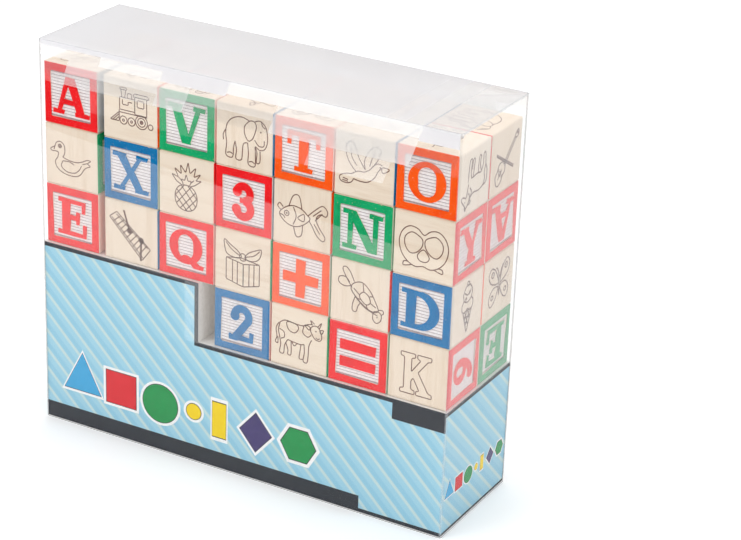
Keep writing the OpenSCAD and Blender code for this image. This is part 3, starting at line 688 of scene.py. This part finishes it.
@dataclass
class MeshBag:
    """Gathers points and faces of one piece, in mm, with a finish for each face."""

    points: list = field(default_factory=list)
    faces: list = field(default_factory=list)
    slots: list = field(default_factory=list)

    def take(self, points: list, faces: list, slots: int | list) -> None:
        """Adds points and faces that count from their own first point.

        Args:
            points: the points.
            faces: the faces.
            slots: one finish for all faces, or one for each.
        """
        base = len(self.points)
        self.points.extend(Vector(p) for p in points)
        self.faces.extend(tuple(base + i for i in f) for f in faces)
        self.slots.extend(slots if isinstance(slots, list) else [slots] * len(faces))

    def ribbon(self, side: Side, line: list, closed: bool, width: float, layer: Layer) -> None:
        """Lays a thin solid line on a side.

        Args:
            side: the side's own frame.
            line: the points of the middle, in the side's mm.
            closed: whether the line closes.
            width: the line's width.
            layer: how it lies there.
        """
        count = len(line)
        rows = []
        for i, (x, y) in enumerate(line):
            before = line[i - 1] if i or closed else line[i]
            after = line[(i + 1) % count] if i < count - 1 or closed else line[i]
            dx, dy = after[0] - before[0], after[1] - before[1]
            length = math.hypot(dx, dy) or 1.0
            nx, ny = -dy / length * width / 2, dx / length * width / 2
            rows.append([side.at(x + nx, y + ny, layer.low), side.at(x - nx, y - ny, layer.low),
                         side.at(x - nx, y - ny, layer.high), side.at(x + nx, y + ny, layer.high)])
        faces = []
        corners = len(rows[0])
        spans = count if closed else count - 1
        for i in range(spans):
            a, b = i * corners, (i + 1) % count * corners
            for k in range(corners):
                beside = (k + 1) % corners
                faces.append((a + k, a + beside, b + beside, b + k))
        if not closed:
            faces.append(tuple(reversed(range(corners))))
            faces.append(tuple(range((count - 1) * corners, count * corners)))
        self.take([p for row in rows for p in row], faces, layer.slot)

    def plate(self, side: Side, outline: list, layer: Layer) -> None:
        """Lays a thin solid plate on a side.

        Args:
            side: the side's own frame.
            outline: its corners, anticlockwise, in the side's mm.
            layer: how it lies there.
        """
        count = len(outline)
        under = [side.at(x, y, layer.low) for x, y in outline]
        over = [side.at(x, y, layer.high) for x, y in outline]
        faces = [tuple(range(count, 2 * count)), tuple(reversed(range(count)))]
        faces.extend((i, (i + 1) % count, (i + 1) % count + count, i + count) for i in range(count))
        self.take(under + over, faces, layer.slot)

    def piece(self, name: str, finishes: list, smooth: float | None = None) -> bpy.types.Object:
        """Makes the object.

        Args:
            name: its name.
            finishes: its materials in slot order.
            smooth: the angle below which edges are smooth, in degrees.

        Returns:
            The object, in metres.
        """
        mesh = bpy.data.meshes.new(name)
        mesh.from_pydata([p * MM for p in self.points], [], self.faces)
        for material in finishes:
            mesh.materials.append(material)
        mesh.polygons.foreach_set("material_index", self.slots)
        if smooth is not None:
            mesh.polygons.foreach_set("use_smooth", [True] * len(mesh.polygons))
            mesh.set_sharp_from_angle(angle=math.radians(smooth))
        mesh.validate()
        made = bpy.data.objects.new(name, mesh)
        bpy.context.scene.collection.objects.link(made)
        return made


# Blocks

# the finishes of a block in slot order: wood, two paints, painted shade of the grooves, reed and ink
WOOD_SLOT, PAINT_SLOT, FAR_PAINT_SLOT, GROOVE_SHADE_SLOT, REED_SLOT, INK_SLOT = range(6)


@dataclass
class BlockWall:
    """The fifty blocks, with their paint, reeded ground and line pictures."""

    rows: int = 4
    columns: int = 7
    last_row_from: int = 4  # the first column of the last row, which stands on the low platform
    smooth: float = 35.0  # edges that turn by less than this look round, in degrees
    reeds: int = 14
    reed_width: float = 0.98
    reed_height: float = 0.24
    reed_margin: float = 0.55  # bare strip along the raised frame
    reed_root: float = 0.02  # how far the reeds run into the frame
    # a reed's section, as shares of its width and height
    reed_shares: tuple = ((-0.5, -0.12), (-0.5, 0.25), (-0.3, 0.82), (0.0, 1.0), (0.3, 0.82), (0.5, 0.25),
                          (0.5, -0.12))
    line_width: float = 0.4
    side_line_width: float = 0.62  # wider on the right sides, which the photograph's camera sees at a slant
    ink_root: float = 0.05  # how far the ink reaches into the wood
    ink_film: float = 0.025  # how high it stands
    picture: float = 22.0  # width of a picture's square
    picture_unit: float = 100.0  # width of that square in a stroke's numbers
    dot_points: int = 12
    ring_points: int = 20
    curve_steps: int = 4
    hidden_curve_steps: int = 2
    corner_reach: float = 1.2  # how near a sharp corner its two helping points lie, in picture units
    corner_share: float = 0.3  # the same, as the largest share of a short line
    # quarter turns of a block's letter on its first lettered side, by layer, row and column
    turns: dict = field(default_factory=lambda: {("front", 4, 7): 3, ("rear", 2, 7): 2, ("rear", 4, 7): 2})
    # the paint of each block, by row and column
    front_paints: tuple = ("rogbobo", "gbrrogr", "rbrgorb", "...bgrr")
    rear_paints: tuple = ("gbrogbr", "orbgror", "bgorbgo", "...rbgg")

    def build(self) -> None:
        """Builds and dresses every block."""
        for layer in ("front", "rear"):
            for row in range(1, self.rows + 1):
                for column in range(1 if row < self.rows else self.last_row_from, self.columns + 1):
                    self.block(layer, row, column)
        LOG.info("blocks: two layers of %d rows and %d columns", self.rows, self.columns)

    def block(self, layer: str, row: int, column: int) -> None:
        """Builds one block around its CAD solid.

        Args:
            layer: "front" or "rear".
            row: the row, from the top.
            column: the column, from the left.
        """
        name = f"{layer}_block_r{row}_c{column}"
        low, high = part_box(name)
        middle = (low + high) / 2 / MM
        faces_front = (row + column) % 2 == 0
        paints = self.front_paints if layer == "front" else self.rear_paints
        first = PAINT_ORDER.index(paints[row - 1][column - 1])
        colours = [PAINT_ORDER[first], PAINT_ORDER[(first + 2) % 4]]
        bag = MeshBag()
        self.carved_wood(bag, name, middle, 1 if faces_front else 0)
        lettered = (Facing.FRONT, Facing.REAR) if faces_front else (Facing.RIGHT, Facing.LEFT)
        turn = self.turns.get((layer, row, column), 0)
        self.reeding(bag, lettered[0].side(middle).turned(turn))
        self.reeding(bag, lettered[1].side(middle))
        for facing in Facing:
            if facing not in lettered:
                self.line_picture(bag, facing, middle, layer, row, column)
        # any sum of these will do: it only spreads the woods, so that neighbours differ
        wood = WOODS[(row * 3 + column * 5 + (layer == "rear")) % len(WOODS)]
        made = bag.piece("dressed_" + name, [
            finish(wood), finish(PAINTS[colours[0]]), finish(PAINTS[colours[1]]), finish(GROOVE_PAINTED_SHADE),
            finish(REED_LIGHT), finish(PICTURE_INK)], smooth=self.smooth)
        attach(made, name)
        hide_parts(name)

    def carved_wood(self, bag: MeshBag, name: str, middle: Vector, axis: int) -> None:
        """Copies the block's solid and sorts its faces into wood, paint and the pressed ground, which gets
        the grooves' painted shade.

        Args:
            bag: the piece's mesh.
            name: the CAD node.
            middle: the block's middle in mm.
            axis: 0 where letters face left and right, 1 where they face front and rear.
        """
        work = bmesh.new()
        work.from_mesh(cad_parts[name].data)
        bmesh.ops.remove_doubles(work, verts=work.verts, dist=WELD * MM)
        work.verts.index_update()
        outward = 1 if axis == 0 else -1
        faces, slots = [], []
        for f in work.faces:
            depth = f.calc_center_median()[axis] / MM - middle[axis]
            flat = abs(f.normal[axis]) > STRAIGHT
            slot = WOOD_SLOT
            if abs(depth) > HALF - PAINT_WRAP and not (flat and abs(depth) < GROUND + NEAR):
                slot = PAINT_SLOT if depth * outward > 0 else FAR_PAINT_SLOT
            # the pressed ground between the reeds gets the grooves' painted shade
            elif flat and abs(abs(depth) - GROUND) < NEAR:
                slot = GROOVE_SHADE_SLOT
            faces.append([v.index for v in f.verts])
            slots.append(slot)
        bag.take([v.co / MM for v in work.verts], faces, slots)
        work.free()

    def reeding(self, bag: MeshBag, side: Side) -> None:
        """Lays the half-round reeds on the pressed ground.

        Args:
            bag: the piece's mesh.
            side: the lettered side.
        """
        pitch = (WINDOW - 2 * self.reed_margin) / self.reeds
        half = WINDOW / 2 + self.reed_root
        count = len(self.reed_shares)
        faces = [(k, k + count, (k + 1) % count + count, (k + 1) % count) for k in range(count)]
        faces += [tuple(range(count)), tuple(reversed(range(count, 2 * count)))]
        for i in range(self.reeds):
            y = -WINDOW / 2 + self.reed_margin + (i + 0.5) * pitch
            ends = [side.at(x, y + a * self.reed_width, GROUND + b * self.reed_height)
                    for x in (-half, half) for a, b in self.reed_shares]
            bag.take(ends, faces, REED_SLOT)

    def line_picture(self, bag: MeshBag, facing: Facing, middle: Vector, layer: str, row: int,
                     column: int) -> None:
        """Prints a line picture on a bare side; sides that neighbours hide get an easy one.

        Args:
            bag: the piece's mesh.
            facing: the side.
            middle: the block's middle.
            layer: "front" or "rear".
            row: the row.
            column: the column.
        """
        # any sum of these will do: it only spreads the pictures, so that neighbours differ
        seed = row * 7 + column * 3 + (11 if layer == "rear" else 0) + list(Facing).index(facing) * 5
        shown = ((facing is Facing.FRONT and layer == "front") or (facing is Facing.REAR and layer == "rear")
                 or (facing is Facing.LEFT and column == 1) or (facing is Facing.TOP and row == 1)
                 or (facing is Facing.RIGHT and column == self.columns))
        names = OTHERS if shown else EASY
        name, turn = names[seed % len(names)], 0 if shown and facing is not Facing.TOP else seed % 4
        if facing is Facing.FRONT and layer == "front":
            name, turn = FRONT_PICTURES[(row, column)], 0
        if facing is Facing.RIGHT and column == self.columns:
            name, turn = RIGHT_PICTURES[(layer, row)]
        side = facing.side(middle).turned(turn)
        width = self.side_line_width if facing is Facing.RIGHT else self.line_width
        ink = Layer(HALF - self.ink_root, HALF + self.ink_film, INK_SLOT)
        for stroke in PICTURES[name].split("|"):
            kind, *numbers = stroke.split()
            values = [float(n) for n in numbers]
            if kind == "d":
                bag.plate(side, self.on_side(circle(*values, self.dot_points)), ink)
                continue
            closed = kind in "czq"
            line = list(zip(values[::2], values[1::2]))
            if kind == "c":
                line = circle(*values, self.ring_points if shown else self.dot_points)
            elif kind in "pz":
                line = smooth_line(line, closed, self.curve_steps if shown else self.hidden_curve_steps)
            else:
                line = self.squared(line, closed)
            bag.ribbon(side, self.on_side(line), closed, width, ink)

    def on_side(self, line: list) -> list:
        """Turns a picture's own units into the side's mm."""
        scale = self.picture / self.picture_unit
        return [((a - self.picture_unit / 2) * scale, (b - self.picture_unit / 2) * scale) for a, b in line]

    def squared(self, line: list, closed: bool) -> list:
        """Adds a point close to each side of a sharp corner, so that a ribbon keeps its width there.

        Args:
            line: the line's points, in picture units.
            closed: whether the line closes.

        Returns:
            The line with two points in place of each corner.
        """
        out = []
        count = len(line)
        for i, here in enumerate(line):
            if not closed and i in (0, count - 1):
                out.append(here)
                continue
            for other in (line[i - 1], line[(i + 1) % count]):
                near = min(self.corner_reach / math.dist(here, other), self.corner_share)
                out.append(tuple(h + (o - h) * near for h, o in zip(here, other)))
        return out


# Card


@dataclass
class PrintedCard:
    """The folded card under the blocks, with its print."""

    border: float = 1.8  # width of the dark line along the card's top edges
    root: float = 0.02  # how far a print reaches into the board
    film: float = 0.04  # how high it stands
    strip_low: float = 0.4
    strip_top: float = 7.3
    strip_end: float = 56.0  # where the wide strip on the front ends
    strip_thin: float = 1.5  # its height from there on
    strip_side: float = 0.9  # its height on the side walls
    tab_from: float = 69.0
    tab_low: float = 44.5
    outline: float = 1.1  # width of the white outline round a shape
    rim: float = 0.3  # width of the dark line inside it
    lift: float = 0.03  # height of each ink over the one below
    mitre: float = 1.45  # how much further the corners of an angular shape reach out
    round_from: int = 8  # a shape with fewer points than this is angular
    side_row: tuple = (9.7, 9.0, 0.41)  # shift right, shift up and scale of the shapes on the side walls

    def build(self) -> None:
        """Dresses the CAD card and lays its solid prints."""
        self.dress_board()
        self.prints()
        LOG.info("card: board and print")

    def dress_board(self) -> None:
        """Gives each outer wall its stripes and leaves the rest white."""
        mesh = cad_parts["card_riser"].data
        looks = (CARD_WHITE, CARD_FRONT, CARD_SIDE)
        mesh.materials.clear()
        for kind in looks:
            mesh.materials.append(finish(kind))
        for face in mesh.polygons:
            c, n = face.center / MM, face.normal
            look = CARD_WHITE
            if abs(n.y) > STRAIGHT and abs(abs(c.y) - CARD_Y) < NEAR:
                look = CARD_FRONT
            elif abs(n.x) > STRAIGHT and abs(abs(c.x) - CARD_X) < NEAR:
                look = CARD_SIDE
            face.material_index = looks.index(look)

    def prints(self) -> None:
        """Makes the printed borders, strip, tab and plain shapes."""
        bag = MeshBag()
        inks = list(CARD_INKS)
        dark = inks.index("dark")
        b, foot, end = self.border, self.strip_low, self.strip_end
        ink = Layer(CARD_Y - self.root, CARD_Y + self.film, dark)
        for facing, flip in ((Facing.FRONT, 1), (Facing.REAR, -1)):
            side = facing.side(Vector((0, 0, 0)))
            step, edge = STEP_X * flip, -CARD_X * flip
            self.bar(bag, side, (edge, step), (HIGH_Z - b, HIGH_Z), ink)
            self.bar(bag, side, (step - b * flip, step), (LOW_Z - b, HIGH_Z - b), ink)
            self.bar(bag, side, (step, -edge), (LOW_Z - b, LOW_Z), ink)
            self.bar(bag, side, (-CARD_X, end), (foot, self.strip_top), ink)
            self.bar(bag, side, (end, CARD_X), (foot, foot + self.strip_thin), ink)
            if facing is Facing.FRONT:
                self.bar(bag, side, (self.tab_from, CARD_X), (self.tab_low, LOW_Z - b), ink)
            self.shapes(bag, side, ink, inks, 0.0, 0.0, 1.0)
        ink = Layer(CARD_X - self.root, CARD_X + self.film, dark)
        for facing, top in ((Facing.RIGHT, LOW_Z), (Facing.LEFT, HIGH_Z)):
            side = facing.side(Vector((0, 0, 0)))
            self.bar(bag, side, (-CARD_Y, CARD_Y), (top - b, top), ink)
            self.bar(bag, side, (-CARD_Y, CARD_Y), (foot, foot + self.strip_side), ink)
            self.shapes(bag, side, ink, inks, *self.side_row)
        made = bag.piece("card_print", [finish(CARD_INKS[k]) for k in inks])
        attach(made, "box")

    @staticmethod
    def bar(bag: MeshBag, side: Side, ends: tuple, levels: tuple, layer: Layer) -> None:
        """Prints a plain bar.

        Args:
            bag: the piece's mesh.
            side: the wall's frame.
            ends: the places of its two ends, in any order.
            levels: its foot and its top.
            layer: how the ink lies there.
        """
        (a, b), (foot, top) = sorted(ends), levels
        bag.plate(side, [(a, foot), (b, foot), (b, top), (a, top)], layer)

    def shapes(self, bag: MeshBag, side: Side, layer: Layer, inks: list, shift: float, base: float,
               scale: float) -> None:
        """Prints the row of plain coloured shapes.

        Args:
            bag: the piece's mesh.
            side: the wall's frame.
            layer: how the lowest ink lies there.
            inks: the names of the inks in slot order.
            shift: how far the row moves right, in mm.
            base: how far it moves up.
            scale: its scale.
        """
        # ink, middle and outline of each shape, in mm
        row = [
            ("blue", -74.0, 24.0, [(-9, -8), (9, -8), (0, 9)]),
            ("red", -55.0, 22.0, [(-7.2, -7.2), (7.2, -7.2), (7.2, 7.2), (-7.2, 7.2)]),
            ("green", -36.0, 21.0, circle(0, 0, 8.3, 36)),
            ("yellow", -20.0, 22.0, circle(0, 0, 3.4, 24)),
            ("yellow", -8.0, 21.5, [(-3.2, -7.6), (3.2, -7.6), (3.2, 7.6), (-3.2, 7.6)]),
            ("violet", 9.0, 21.0, [(0, -8.4), (7.2, 0), (0, 8.4), (-7.2, 0)]),
            ("green", 28.5, 21.0, circle(0, 0, 7.8, 6)),
        ]
        for ink, x, z, outline in row:
            reach = max(math.hypot(*p) for p in outline)
            stretch = self.mitre if len(outline) < self.round_from else 1.0
            inked = (("white", self.outline + self.rim), ("dark", self.rim), (ink, 0.0))
            for level, (name, grow) in enumerate(inked):
                big = 1 + grow / reach * stretch
                shape = [((x + p[0] * big) * scale + shift, (z + p[1] * big) * scale + base) for p in outline]
                top = layer.high + level * self.lift
                bag.plate(side, shape, Layer(layer.low, top, inks.index(name)))


# Clear box


@dataclass
class ClearBox:
    """The clear folding box: walls and bottom, lid with its tuck flap, and two dust flaps."""

    fold_r: float = 0.9  # radius of the walls' upright folds
    fold_steps: int = 4
    bulge: float = 0.5  # the belly of a long wall
    tuck_h: float = 17.0  # depth of the tuck flap
    tuck_r: float = 8.0  # radius of its corners
    tuck_gap: float = 1.2  # room at each of its ends
    # where the walls' faces meet, and so where a painted reflection or painted shade can change: columns on
    # the long walls and the side walls, and rows
    columns: tuple = (-80.0, -66.0, -52.0, -37.5, -24.0, -8.5, 14.0, 33.0, 50.0, 66.0, 73.0)
    side_columns: tuple = (-13.0, 0.0, 13.0)
    rows: tuple = (0.0, 26.0, 53.0, 66.0, 78.4, 99.0, 120.5, 129.0, 138.0, 147.0, 152.0, 157.5, 158.5, 161.5,
                   BOX_Z)
    wall_depth: float = 1.0  # a point this close to a long wall's face belongs to that wall
    slanted_row: int = 6  # the row along the edge of the room's painted reflection on the front
    slant: float = 0.078  # its slope
    skew: float = 0.35  # how far the front's columns above it lean to the right, for each mm of height
    skew_level: float = 152.0  # the height at which they keep their place
    skew_reach: float = 82.0  # how far from the middle they lean
    lid_columns: int = 24
    lid_rows: int = 12
    lid_gap: float = 0.05  # how much shorter than the box the lid is at each end
    lid_fold_r: float = 1.4
    lid_fold_steps: int = 5
    crown: float = 1.3  # how far the lid stands up in the middle
    tuck_rows: int = 14
    tuck_bow: float = 0.5  # how far the tuck flap bows inward
    tuck_clear: float = 0.02  # room between it and the front wall
    smooth: float = 50.0  # edges that turn by less than this look round, in degrees

    def build(self) -> None:
        """Builds the folded sheets."""
        self.walls()
        self.bottom()
        self.lid()
        self.dust_flaps()
        LOG.info("clear box: walls, bottom, lid and flaps")

    def walls(self) -> None:
        """Builds the four walls as one sheet folded round, with soft folds and a slight belly."""
        outer, inner = self.ring(0.0), self.ring(SHEET)
        count = len(outer)
        bag = MeshBag()
        points, faces, slots = [], [], []
        for ring in (outer, inner):
            for n, z in enumerate(self.rows):
                share = math.sin(math.pi * z / BOX_Z)
                for x, y in ring:
                    point = Vector((x, y, z))
                    if abs(y) > BOX_Y - self.wall_depth:
                        across = max(0.0, math.cos(math.pi * x / 2 / BOX_X))
                        point.y += math.copysign(self.bulge * share * across, y)
                        if n == self.slanted_row:
                            point.z += math.copysign(self.slant, y) * x
                        elif n > self.slanted_row and abs(x) < self.skew_reach:
                            point.x -= math.copysign(self.skew, y) * (z - self.skew_level)
                    points.append(point)
        layer = count * len(self.rows)
        for r in range(len(self.rows) - 1):
            for i in range(count):
                a, b = r * count + i, r * count + (i + 1) % count
                faces.append((a, b, b + count, a + count))
                faces.append((layer + b, layer + a, layer + a + count, layer + b + count))
                middle = [(p + q) / 2 for p, q in zip(outer[i], outer[(i + 1) % count])]
                slots += [self.look(middle[0], middle[1], (self.rows[r] + self.rows[r + 1]) / 2)] * 2
        for i in range(count):
            j = (i + 1) % count
            top = layer - count
            faces.append((j, i, layer + i, layer + j))
            faces.append((top + i, top + j, layer + top + j, layer + top + i))
            # the sheet's cut rims get a painted shade
            slots += [CUT_EDGE_PAINTED_SHADE] * 2
        bag.take(points, faces, [WALL_LOOKS.index(kind) for kind in slots])
        made = bag.piece("clear_walls", [finish(kind) for kind in WALL_LOOKS], smooth=self.smooth)
        made.visible_shadow = False
        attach(made, "box")
        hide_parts("front_wall", "rear_wall", "left_wall", "right_wall")

    def look(self, x: float, y: float, z: float) -> ClearFoldedPet:
        """Tells how the sheet looks at a place: clear, with painted shade at a fold, or with a painted
        reflection of the room on it.

        Args:
            x: the middle of a face, from left to right.
            y: the same, from front to rear.
            z: the same, upward.

        Returns:
            Its finish.
        """
        beside, ahead = abs(x) > BOX_X - self.fold_r, abs(y) > BOX_Y - self.fold_r
        if beside and ahead:
            # the upright folds get a painted shade, darker at the left-front and right-rear corners
            return TIGHT_CREASE_PAINTED_SHADE if x * y > 0 else CREASE_PAINTED_SHADE
        if beside:
            # the side walls carry a painted reflection above the low platform, stronger on the right wall
            return CLEAR if z < LOW_Z else PAINTED_REFLECTION_DOUBLED if x > 0 else PAINTED_REFLECTION_THIN
        # the long walls take their painted reflection from the zones, and the rear wall takes them mirrored
        # in x
        across = x if y < 0 else -x
        return next((k for x0, x1, z0, z1, k in PAINTED_REFLECTION_ZONES if x0 < across < x1 and z0 < z < z1), CLEAR)

    def ring(self, inset: float) -> list[tuple[float, float]]:
        """Gives a round-cornered outline of the walls.

        Args:
            inset: how far it lies inside the outer faces.

        Returns:
            Its points, anticlockwise from above.
        """
        x, y, r = BOX_X - inset, BOX_Y - inset, self.fold_r - inset
        out = []
        corners = ((x - r, y - r, 0), (r - x, y - r, 90), (r - x, r - y, 180), (x - r, r - y, 270))
        edges = ([(-c, y) for c in self.columns], [(-x, -c) for c in self.side_columns],
                 [(c, -y) for c in self.columns], [(x, c) for c in self.side_columns])
        for (cx, cy, start), edge in zip(corners, edges):
            for step in range(self.fold_steps + 1):
                angle = math.radians(start + 90 / self.fold_steps * step)
                out.append((cx + r * math.cos(angle), cy + r * math.sin(angle)))
            out.extend(edge)
        return out

    def bottom(self) -> None:
        """Dresses the bottom panel."""
        self.dress("bottom_panel", CLEAR)

    def lid(self) -> None:
        """Builds the lid with its rounded front fold and tuck flap, as one sheet."""
        profile = self.lid_profile()
        columns = self.lid_columns
        count = len(profile)
        points, faces = [], []
        for sheet in (0.0, 1.0):
            for i in range(columns + 1):
                share = -1 + 2 * i / columns
                for y, z, ny, nz, flap in profile:
                    reach, rise = BOX_X - self.lid_gap, 0.0
                    if flap > 0:
                        left = max(0.0, flap - (self.tuck_h - self.tuck_r))
                        trim = self.tuck_r - math.sqrt(max(0.0, self.tuck_r ** 2 - left ** 2))
                        reach = BOX_X - SHEET - self.tuck_gap - trim
                    elif abs(y) < BOX_Y - self.wall_depth:
                        rise = self.crown * math.cos(math.pi * y / 2 / BOX_Y) * math.cos(math.pi * share / 2)
                    points.append((share * reach, y - ny * SHEET * sheet, z + rise - nz * SHEET * sheet))
        layer = count * (columns + 1)
        for i in range(columns):
            for k in range(count - 1):
                a = i * count + k
                faces.append((a, a + count, a + count + 1, a + 1))
                faces.append((layer + a, layer + a + 1, layer + a + count + 1, layer + a + count))
        rim = [i * count for i in range(columns + 1)]
        rim += [columns * count + k for k in range(1, count)]
        rim += [i * count + count - 1 for i in range(columns - 1, -1, -1)]
        rim += [k for k in range(count - 2, 0, -1)]
        for i, a in enumerate(rim):
            b = rim[(i + 1) % len(rim)]
            faces.append((b, a, layer + a, layer + b))
        bag = MeshBag()
        bag.take(points, faces, LID_SLOT)
        fold_ends = self.lid_rows + self.lid_fold_steps
        for n, f in enumerate(bag.faces):
            if all(i % count >= fold_ends for i in f):
                bag.slots[n] = TUCK_SLOT
            else:
                # the lid's painted reflection fades in steps towards its right end
                from_x = min(bag.points[i].x for i in f)
                bag.slots[n] = next((slot for x, slot in LID_STEPS if from_x > x), LID_SLOT)
        made = bag.piece("clear_lid", [finish(kind) for kind in LID_LOOKS], smooth=self.smooth)
        made.visible_shadow = False
        self.face_out(made)
        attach(made, "lid")
        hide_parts("lid_panel", "tuck_flap")

    def lid_profile(self) -> list[tuple[float, float, float, float, float]]:
        """Gives the lid's outer line from the rear fold to the flap's lip.

        Returns:
            For each point y, z, the outward normal's y and z, and how far down the flap it is.
        """
        out = []
        inner_y = BOX_Y - SHEET
        r = self.lid_fold_r
        for i in range(self.lid_rows + 1):
            out.append((BOX_Y - (BOX_Y + inner_y - r) * i / self.lid_rows, BOX_Z, 0.0, 1.0, 0.0))
        for i in range(1, self.lid_fold_steps + 1):
            angle = math.radians(90 / self.lid_fold_steps * i)
            out.append((-(inner_y - r) - r * math.sin(angle), BOX_Z - r + r * math.cos(angle),
                        -math.sin(angle), math.cos(angle), 0.0))
        for i in range(1, self.tuck_rows + 1):
            share = i / self.tuck_rows
            down = (self.tuck_h - r) * share
            y = -inner_y + self.tuck_bow * math.sin(math.pi * share) + self.tuck_clear
            out.append((y, BOX_Z - r - down, -1.0, 0.0, down + r))
        return out

    def dust_flaps(self) -> None:
        """Dresses the two dust flaps with the lid end's painted reflection."""
        for name in ("left_dust_flap", "right_dust_flap"):
            self.dress(name, LID_END_PAINTED_REFLECTION)

    @staticmethod
    def dress(name: str, kind: ClearFoldedPet) -> None:
        """Gives a CAD panel its clear finish, or a painted reflection.

        Args:
            name: the CAD node.
            kind: the finish.
        """
        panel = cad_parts[name]
        panel.visible_shadow = False
        panel.data.materials.clear()
        panel.data.materials.append(finish(kind))

    @staticmethod
    def face_out(piece: bpy.types.Object) -> None:
        """Turns every face of a closed sheet outward.

        Args:
            piece: the sheet's object.
        """
        work = bmesh.new()
        work.from_mesh(piece.data)
        bmesh.ops.recalc_face_normals(work, faces=work.faces)
        work.to_mesh(piece.data)
        work.free()


# Studio


@dataclass
class Studio:
    """The pale floor, the soft lights and the camera at the photograph's angle."""

    camera_place: tuple = (0.4299, -0.7091, 0.4462)  # m
    azimuth: float = -28.62  # degrees, like the next two
    elevation: float = 23.828
    roll: float = 2.239
    lens: float = 112.14  # mm, like the next
    sensor: float = 36.0
    near: float = 0.01  # m, the camera sees nothing nearer
    floor_reach: float = 4000.0  # mm, like the next
    floor_drop: float = 0.05
    surround: float = 0.45  # strength of the white surround
    lit_place: tuple = (0.0, 0.0, 0.08)  # m, where the softboxes point
    # name, place in m, edge in m and power in W of each softbox
    softboxes: tuple = (
        ("key_softbox", (-0.75, -1.0, 1.15), 0.9, 8.2),
        ("fill_softbox", (1.15, -0.55, 0.7), 0.8, 2.8),
        ("top_softbox", (0.0, 0.25, 1.3), 0.9, 8.2),
    )

    def build(self) -> None:
        """Builds the studio."""
        self.floor()
        self.lights()
        self.camera()
        LOG.info("studio: floor, lights and camera")

    def floor(self) -> None:
        """Lays the floor."""
        bag = MeshBag()
        r, z = self.floor_reach, -self.floor_drop
        bag.take([(-r, -r, z), (r, -r, z), (r, r, z), (-r, r, z)], [(0, 1, 2, 3)], 0)
        made = bag.piece("studio_floor", [finish(MattFloor())])

    def lights(self) -> None:
        """Hangs the soft lights and sets the even surround."""
        world = bpy.data.worlds.new("even_surround")
        world.use_nodes = True
        wire(world.node_tree.nodes["Background"], {"Color": srgb("#ffffff"), "Strength": self.surround})
        bpy.context.scene.world = world
        for name, place, size, power in self.softboxes:
            made = self.panel_light(name, place, (size, size), power)
            aim = Vector(self.lit_place) - Vector(place)
            made.rotation_euler = aim.to_track_quat("-Z", "Y").to_euler()
        bpy.context.scene.view_settings.view_transform = "Standard"

    @staticmethod
    def panel_light(name: str, place: tuple, size: tuple, power: float) -> bpy.types.Object:
        """Hangs one panel light.

        Args:
            name: its name.
            place: its middle, in metres.
            size: its width and height.
            power: its power in watts.

        Returns:
            The light.
        """
        lamp = bpy.data.lights.new(name, "AREA")
        lamp.shape = "RECTANGLE"
        lamp.size, lamp.size_y = size
        lamp.energy = power
        made = bpy.data.objects.new(name, lamp)
        made.location = place
        made.visible_camera = False
        bpy.context.scene.collection.objects.link(made)
        return made

    def camera(self) -> None:
        """Sets the camera where the photograph's was."""
        az, el, roll = (math.radians(a) for a in (self.azimuth, self.elevation, self.roll))
        ahead = Vector((math.sin(az) * math.cos(el), math.cos(az) * math.cos(el), -math.sin(el)))
        right = ahead.cross(Vector((0, 0, 1))).normalized()
        up = right.cross(ahead)
        right, up = (right * math.cos(roll) + up * math.sin(roll),
                     up * math.cos(roll) - right * math.sin(roll))
        data = bpy.data.cameras.new("photo_camera")
        data.sensor_width = self.sensor
        data.sensor_fit = "HORIZONTAL"
        data.lens = self.lens
        data.clip_start = self.near
        made = bpy.data.objects.new("photo_camera", data)
        turn = Matrix((right, up, -ahead)).transposed().to_4x4()
        made.matrix_world = Matrix.Translation(self.camera_place) @ turn
        bpy.context.scene.collection.objects.link(made)
        bpy.context.scene.camera = made


def main() -> None:
    """Builds the set in order."""
    logging.basicConfig(level=logging.INFO)
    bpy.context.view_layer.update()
    for part in (BlockWall(), PrintedCard(), ClearBox(), Studio()):
        part.build()
    bpy.context.view_layer.update()


if __name__ == "__main__":
    main()
